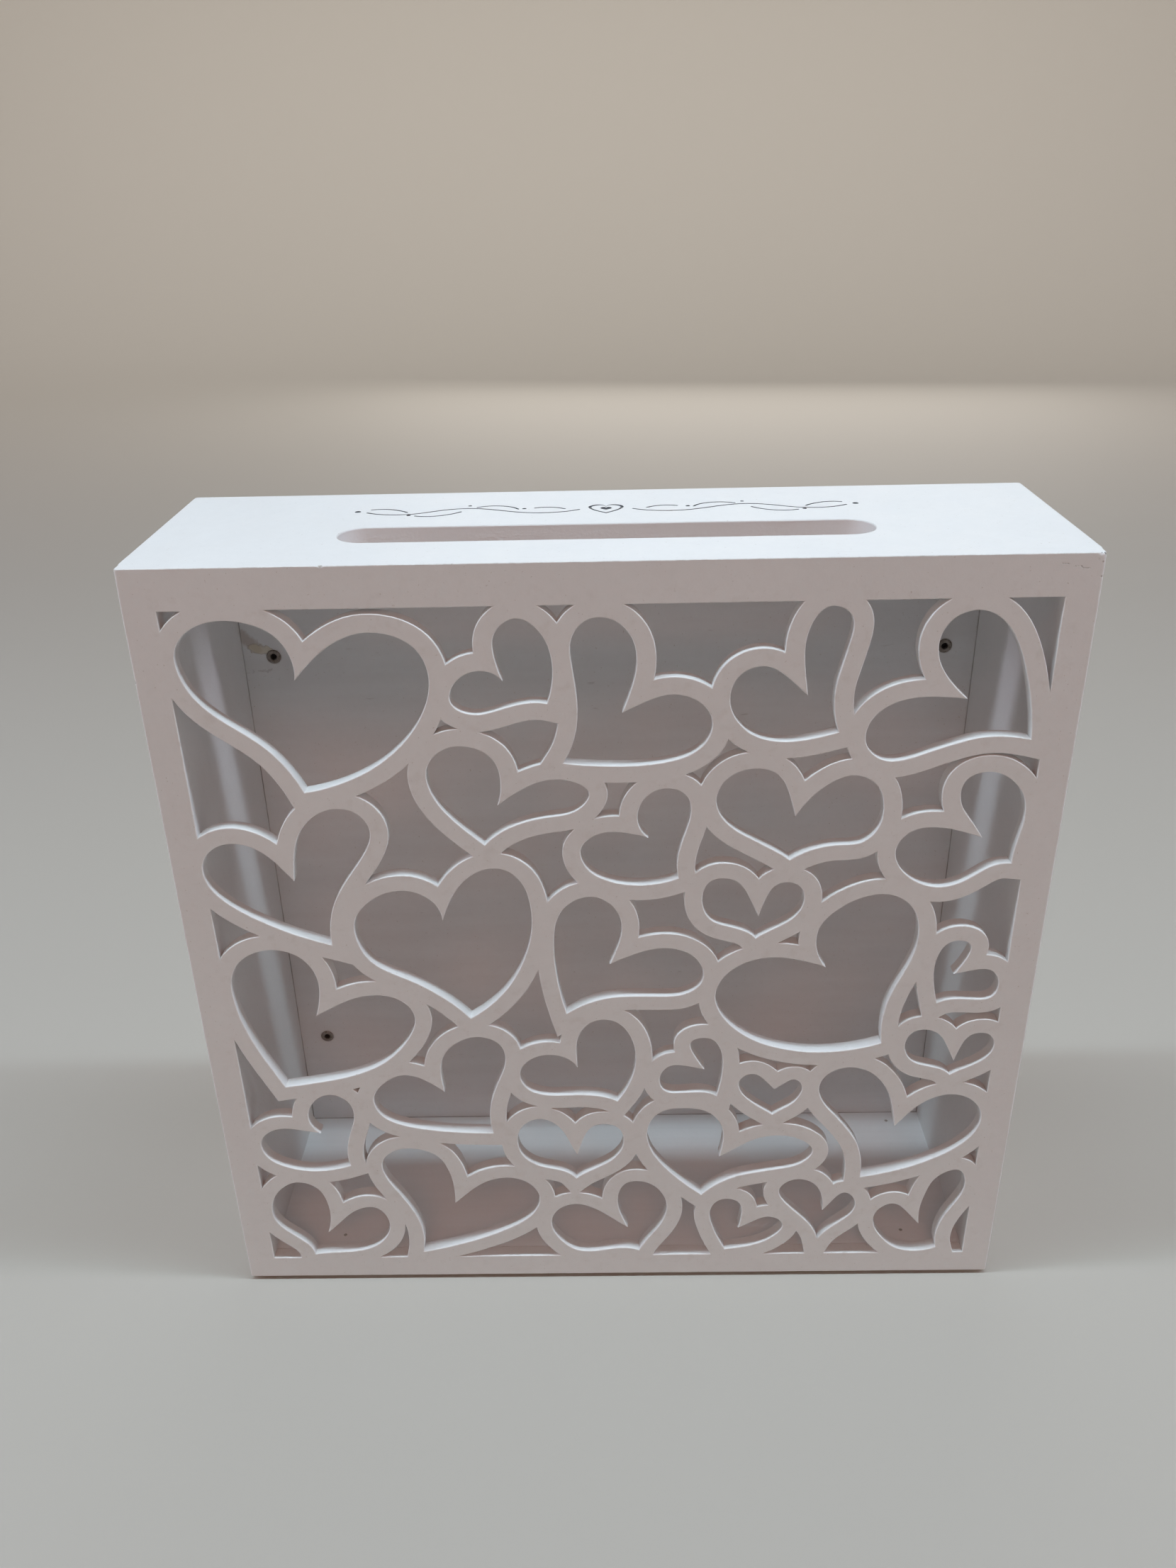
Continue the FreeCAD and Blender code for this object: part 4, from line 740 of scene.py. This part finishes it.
# --------------------------------------------------------------------- boards
def refined(node, picks, name):
    """The CAD node's shape with its triangles merged and chosen edges eased.
    picks: (width mm, segments, test of an edge's two ends in mm)."""
    bm = bmesh.new()
    bm.from_mesh(nodes[node].data)
    bmesh.ops.remove_doubles(bm, verts=bm.verts, dist=2e-6)
    bmesh.ops.dissolve_limit(
        bm, angle_limit=math.radians(0.3), use_dissolve_boundaries=False,
        verts=bm.verts, edges=bm.edges, delimit=set())
    for width, segments, test in picks:
        chosen = []
        for e in bm.edges:
            if len(e.link_faces) != 2 or e.calc_face_angle(0.0) < math.radians(30):
                continue
            a, b = (v.co / MM for v in e.verts)
            if test(a, b):
                chosen.append(e)
        if chosen:
            bmesh.ops.bevel(
                bm, geom=chosen, offset=width * MM, offset_type="OFFSET",
                segments=segments, profile=0.5, affect="EDGES", clamp_overlap=True)
    for f in bm.faces:
        f.smooth = True
    for e in bm.edges:
        e.smooth = not (len(e.link_faces) == 2 and e.calc_face_angle(0.0) > math.radians(32))
    me = bpy.data.meshes.new(name)
    bm.to_mesh(me)
    bm.free()
    return me


def weighted(obj):
    mod = obj.modifiers.new("even_shading", "WEIGHTED_NORMAL")
    mod.keep_sharp = True
    mod.weight = 100
    return obj


def at(v, value, tol=0.02):
    return abs(v - value) < tol


def build_boards(white):
    lo, hi = (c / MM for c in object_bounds())
    x1, yb, z0, z1 = hi.x, hi.y, 1.6, hi.z

    def outer_edge(a, b):
        """An edge on two outside faces of the whole box, joints left out."""
        hits = 0
        if at(abs(a.x), x1) and at(abs(b.x), x1) and at(a.x, b.x):
            hits += 1
        if at(a.y, yb) and at(b.y, yb):
            hits += 1
        if at(a.z, z1) and at(b.z, z1):
            hits += 1
        if at(a.z, z0) and at(b.z, z0):
            hits += 1
        return hits >= 2

    def slot_top(a, b):
        return at(a.z, z1) and at(b.z, z1) and abs(a.x) < 92 and abs(b.x) < 92 and -21 < a.y < 0 and -21 < b.y < 0

    def slot_low(a, b):
        return a.z < 295.1 and b.z < 295.1 and abs(a.x) < 92 and abs(b.x) < 92 and -21 < a.y < 0 and -21 < b.y < 0

    made = []
    for node in ("top_board", "bottom_board", "left_side_board", "right_side_board"):
        picks = [(0.5, 4, outer_edge)]
        if node == "top_board":
            picks += [(0.55, 4, slot_top), (0.3, 2, slot_low)]
        me = refined(node, picks, node + "_painted")
        obj = new_piece(node + "_painted", me, "carcass", (node,), [white])
        made.append(weighted(obj))
    return made


# ------------------------------------------------------------------ the stage
def build_stage():
    """A plain pale floor that sweeps up into a wall well behind the box."""
    s = Shader("floor_plain")
    s.put(s.bsdf.inputs["Base Color"], (0.51, 0.487, 0.440, 1.0))
    s.bsdf.inputs["Roughness"].default_value = 0.7
    line = [(-5.0, 0.0), (2.2, 0.0)]
    line += [(2.2 + 1.2 * math.sin(t), 1.2 - 1.2 * math.cos(t)) for t in (math.radians(k * 7.5) for k in range(1, 13))]
    line.append((3.4, 3.2))
    verts, faces = [], []
    for y, z in line:
        verts += [(-6.5, y, z - 0.0002), (6.5, y, z - 0.0002)]
    for k in range(len(line) - 1):
        faces.append((2 * k, 2 * k + 1, 2 * k + 3, 2 * k + 2))
    me = bpy.data.meshes.new("floor")
    me.from_pydata(verts, [], faces)
    me.materials.append(s.mat)
    for f in me.polygons:
        f.use_smooth = True
    floor = bpy.data.objects.new("floor", me)
    scene.collection.objects.link(floor)
    floor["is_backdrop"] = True


def area_light(name, place, aim, size, power, colour):
    data = bpy.data.lights.new(name, "AREA")
    data.shape = "RECTANGLE"
    data.size, data.size_y = size
    data.energy = power
    data.color = colour
    obj = bpy.data.objects.new(name, data)
    obj.location = place
    obj.rotation_mode = "QUATERNION"
    obj.rotation_quaternion = (Vector(aim) - Vector(place)).to_track_quat("-Z", "Y")
    scene.collection.objects.link(obj)
    return obj


def build_lights():
    """A row of soft light 1.2 m above the box and a little in front of it,
    stronger towards its ends, a weak warm one high in front, one on the
    backdrop and one behind."""
    for name, x, length, wide, power, tint in (
            ("row_middle", 0.0, 2.6, 0.05, 17.0, (0.68, 0.895, 1.0)),
            ("row_left", -3.1, 3.6, 0.15, 35.4, (0.862, 0.864, 1.0)),
            ("row_right", 3.1, 3.6, 0.15, 35.4, (0.862, 0.864, 1.0))):
        row = area_light(name, (x, -0.155, 1.5), (x, -0.155, 0.0), (length, wide), power, tint)
        row.rotation_mode = "XYZ"
        row.rotation_euler = (0.0, 0.0, 0.0)
    area_light("warm_front", (0.0, -1.9, 1.85), (0.0, 0.0, 0.15), (1.2, 0.6), 6.5, (1.0, 0.42, 0.25))
    sweep = area_light("sweep", (0.0, 1.9, 2.7), (0.0, 3.3, 0.7), (5.0, 0.5), 30.0, (1.0, 0.96, 0.90))
    sweep.data.spread = math.radians(115.0)
    area_light("rear", (0.25, 2.1, 0.55), (0.0, 0.05, 0.15), (1.4, 0.7), 4.5, (1.0, 0.96, 0.92))
    world = bpy.data.worlds.new("room")
    world.use_nodes = True
    bg = world.node_tree.nodes["Background"]
    bg.inputs[0].default_value = (1.0, 0.84, 0.775, 1.0)
    bg.inputs[1].default_value = 0.18
    scene.world = world
    scene.view_settings.view_transform = "Standard"


def finish_nodes(mats):
    """Panel, turn-buttons, rivets, glides and nails have their right shape:
    they stay, with hard corners eased by modifiers and their own finish."""
    def ease(node, mat, width, segments):
        obj = nodes[node]
        for slot in obj.material_slots:
            slot.material = mat
        weld = obj.modifiers.new("weld", "WELD")
        weld.merge_threshold = 2e-6
        flat = obj.modifiers.new("flat_faces", "DECIMATE")
        flat.decimate_type = "DISSOLVE"
        flat.angle_limit = math.radians(0.3)
        bevel = obj.modifiers.new("eased_edges", "BEVEL")
        bevel.width = width * MM
        bevel.segments = segments
        bevel.limit_method = "ANGLE"
        bevel.angle_limit = math.radians(30)
        bevel.use_clamp_overlap = True
        bevel.harden_normals = True

    ease("back_panel", mats["panel"], 0.30, 3)
    for c in CORNERS:
        ease("turn_button_" + c, mats["button"], 0.15, 3)
        ease("rivet_" + c, mats["rivet"], 0.10, 2)
    for g in GLIDES:
        ease("glide_" + g, mats["glide"], 0.18, 3)
        ease("glide_nail_" + g, mats["nail"], 0.06, 2)


make_camera()
new_piece("fretted_front", build_front(), "carcass", ("front_lattice",), [front_paint()])
build_boards(board_paint())
finish_nodes({
    "panel": panel_paint(),
    "button": steel("button_steel", (0.66, 0.65, 0.62), (0.50, 0.49, 0.47), 0.34, 0.02),
    "rivet": steel("rivet_steel", (0.36, 0.33, 0.30), (0.20, 0.175, 0.155), 0.50, 0.03, (0.13, 0.09, 0.06),
                   [(x, z) for x in (-130.0, 130.0) for z in (60.6, 244.6)]),
    "glide": glide_plastic(),
    "nail": steel("nail_steel", (0.66, 0.65, 0.63), (0.45, 0.43, 0.40), 0.45, 0.02, (0.19, 0.11, 0.06)),
})
build_stage()
build_lights()
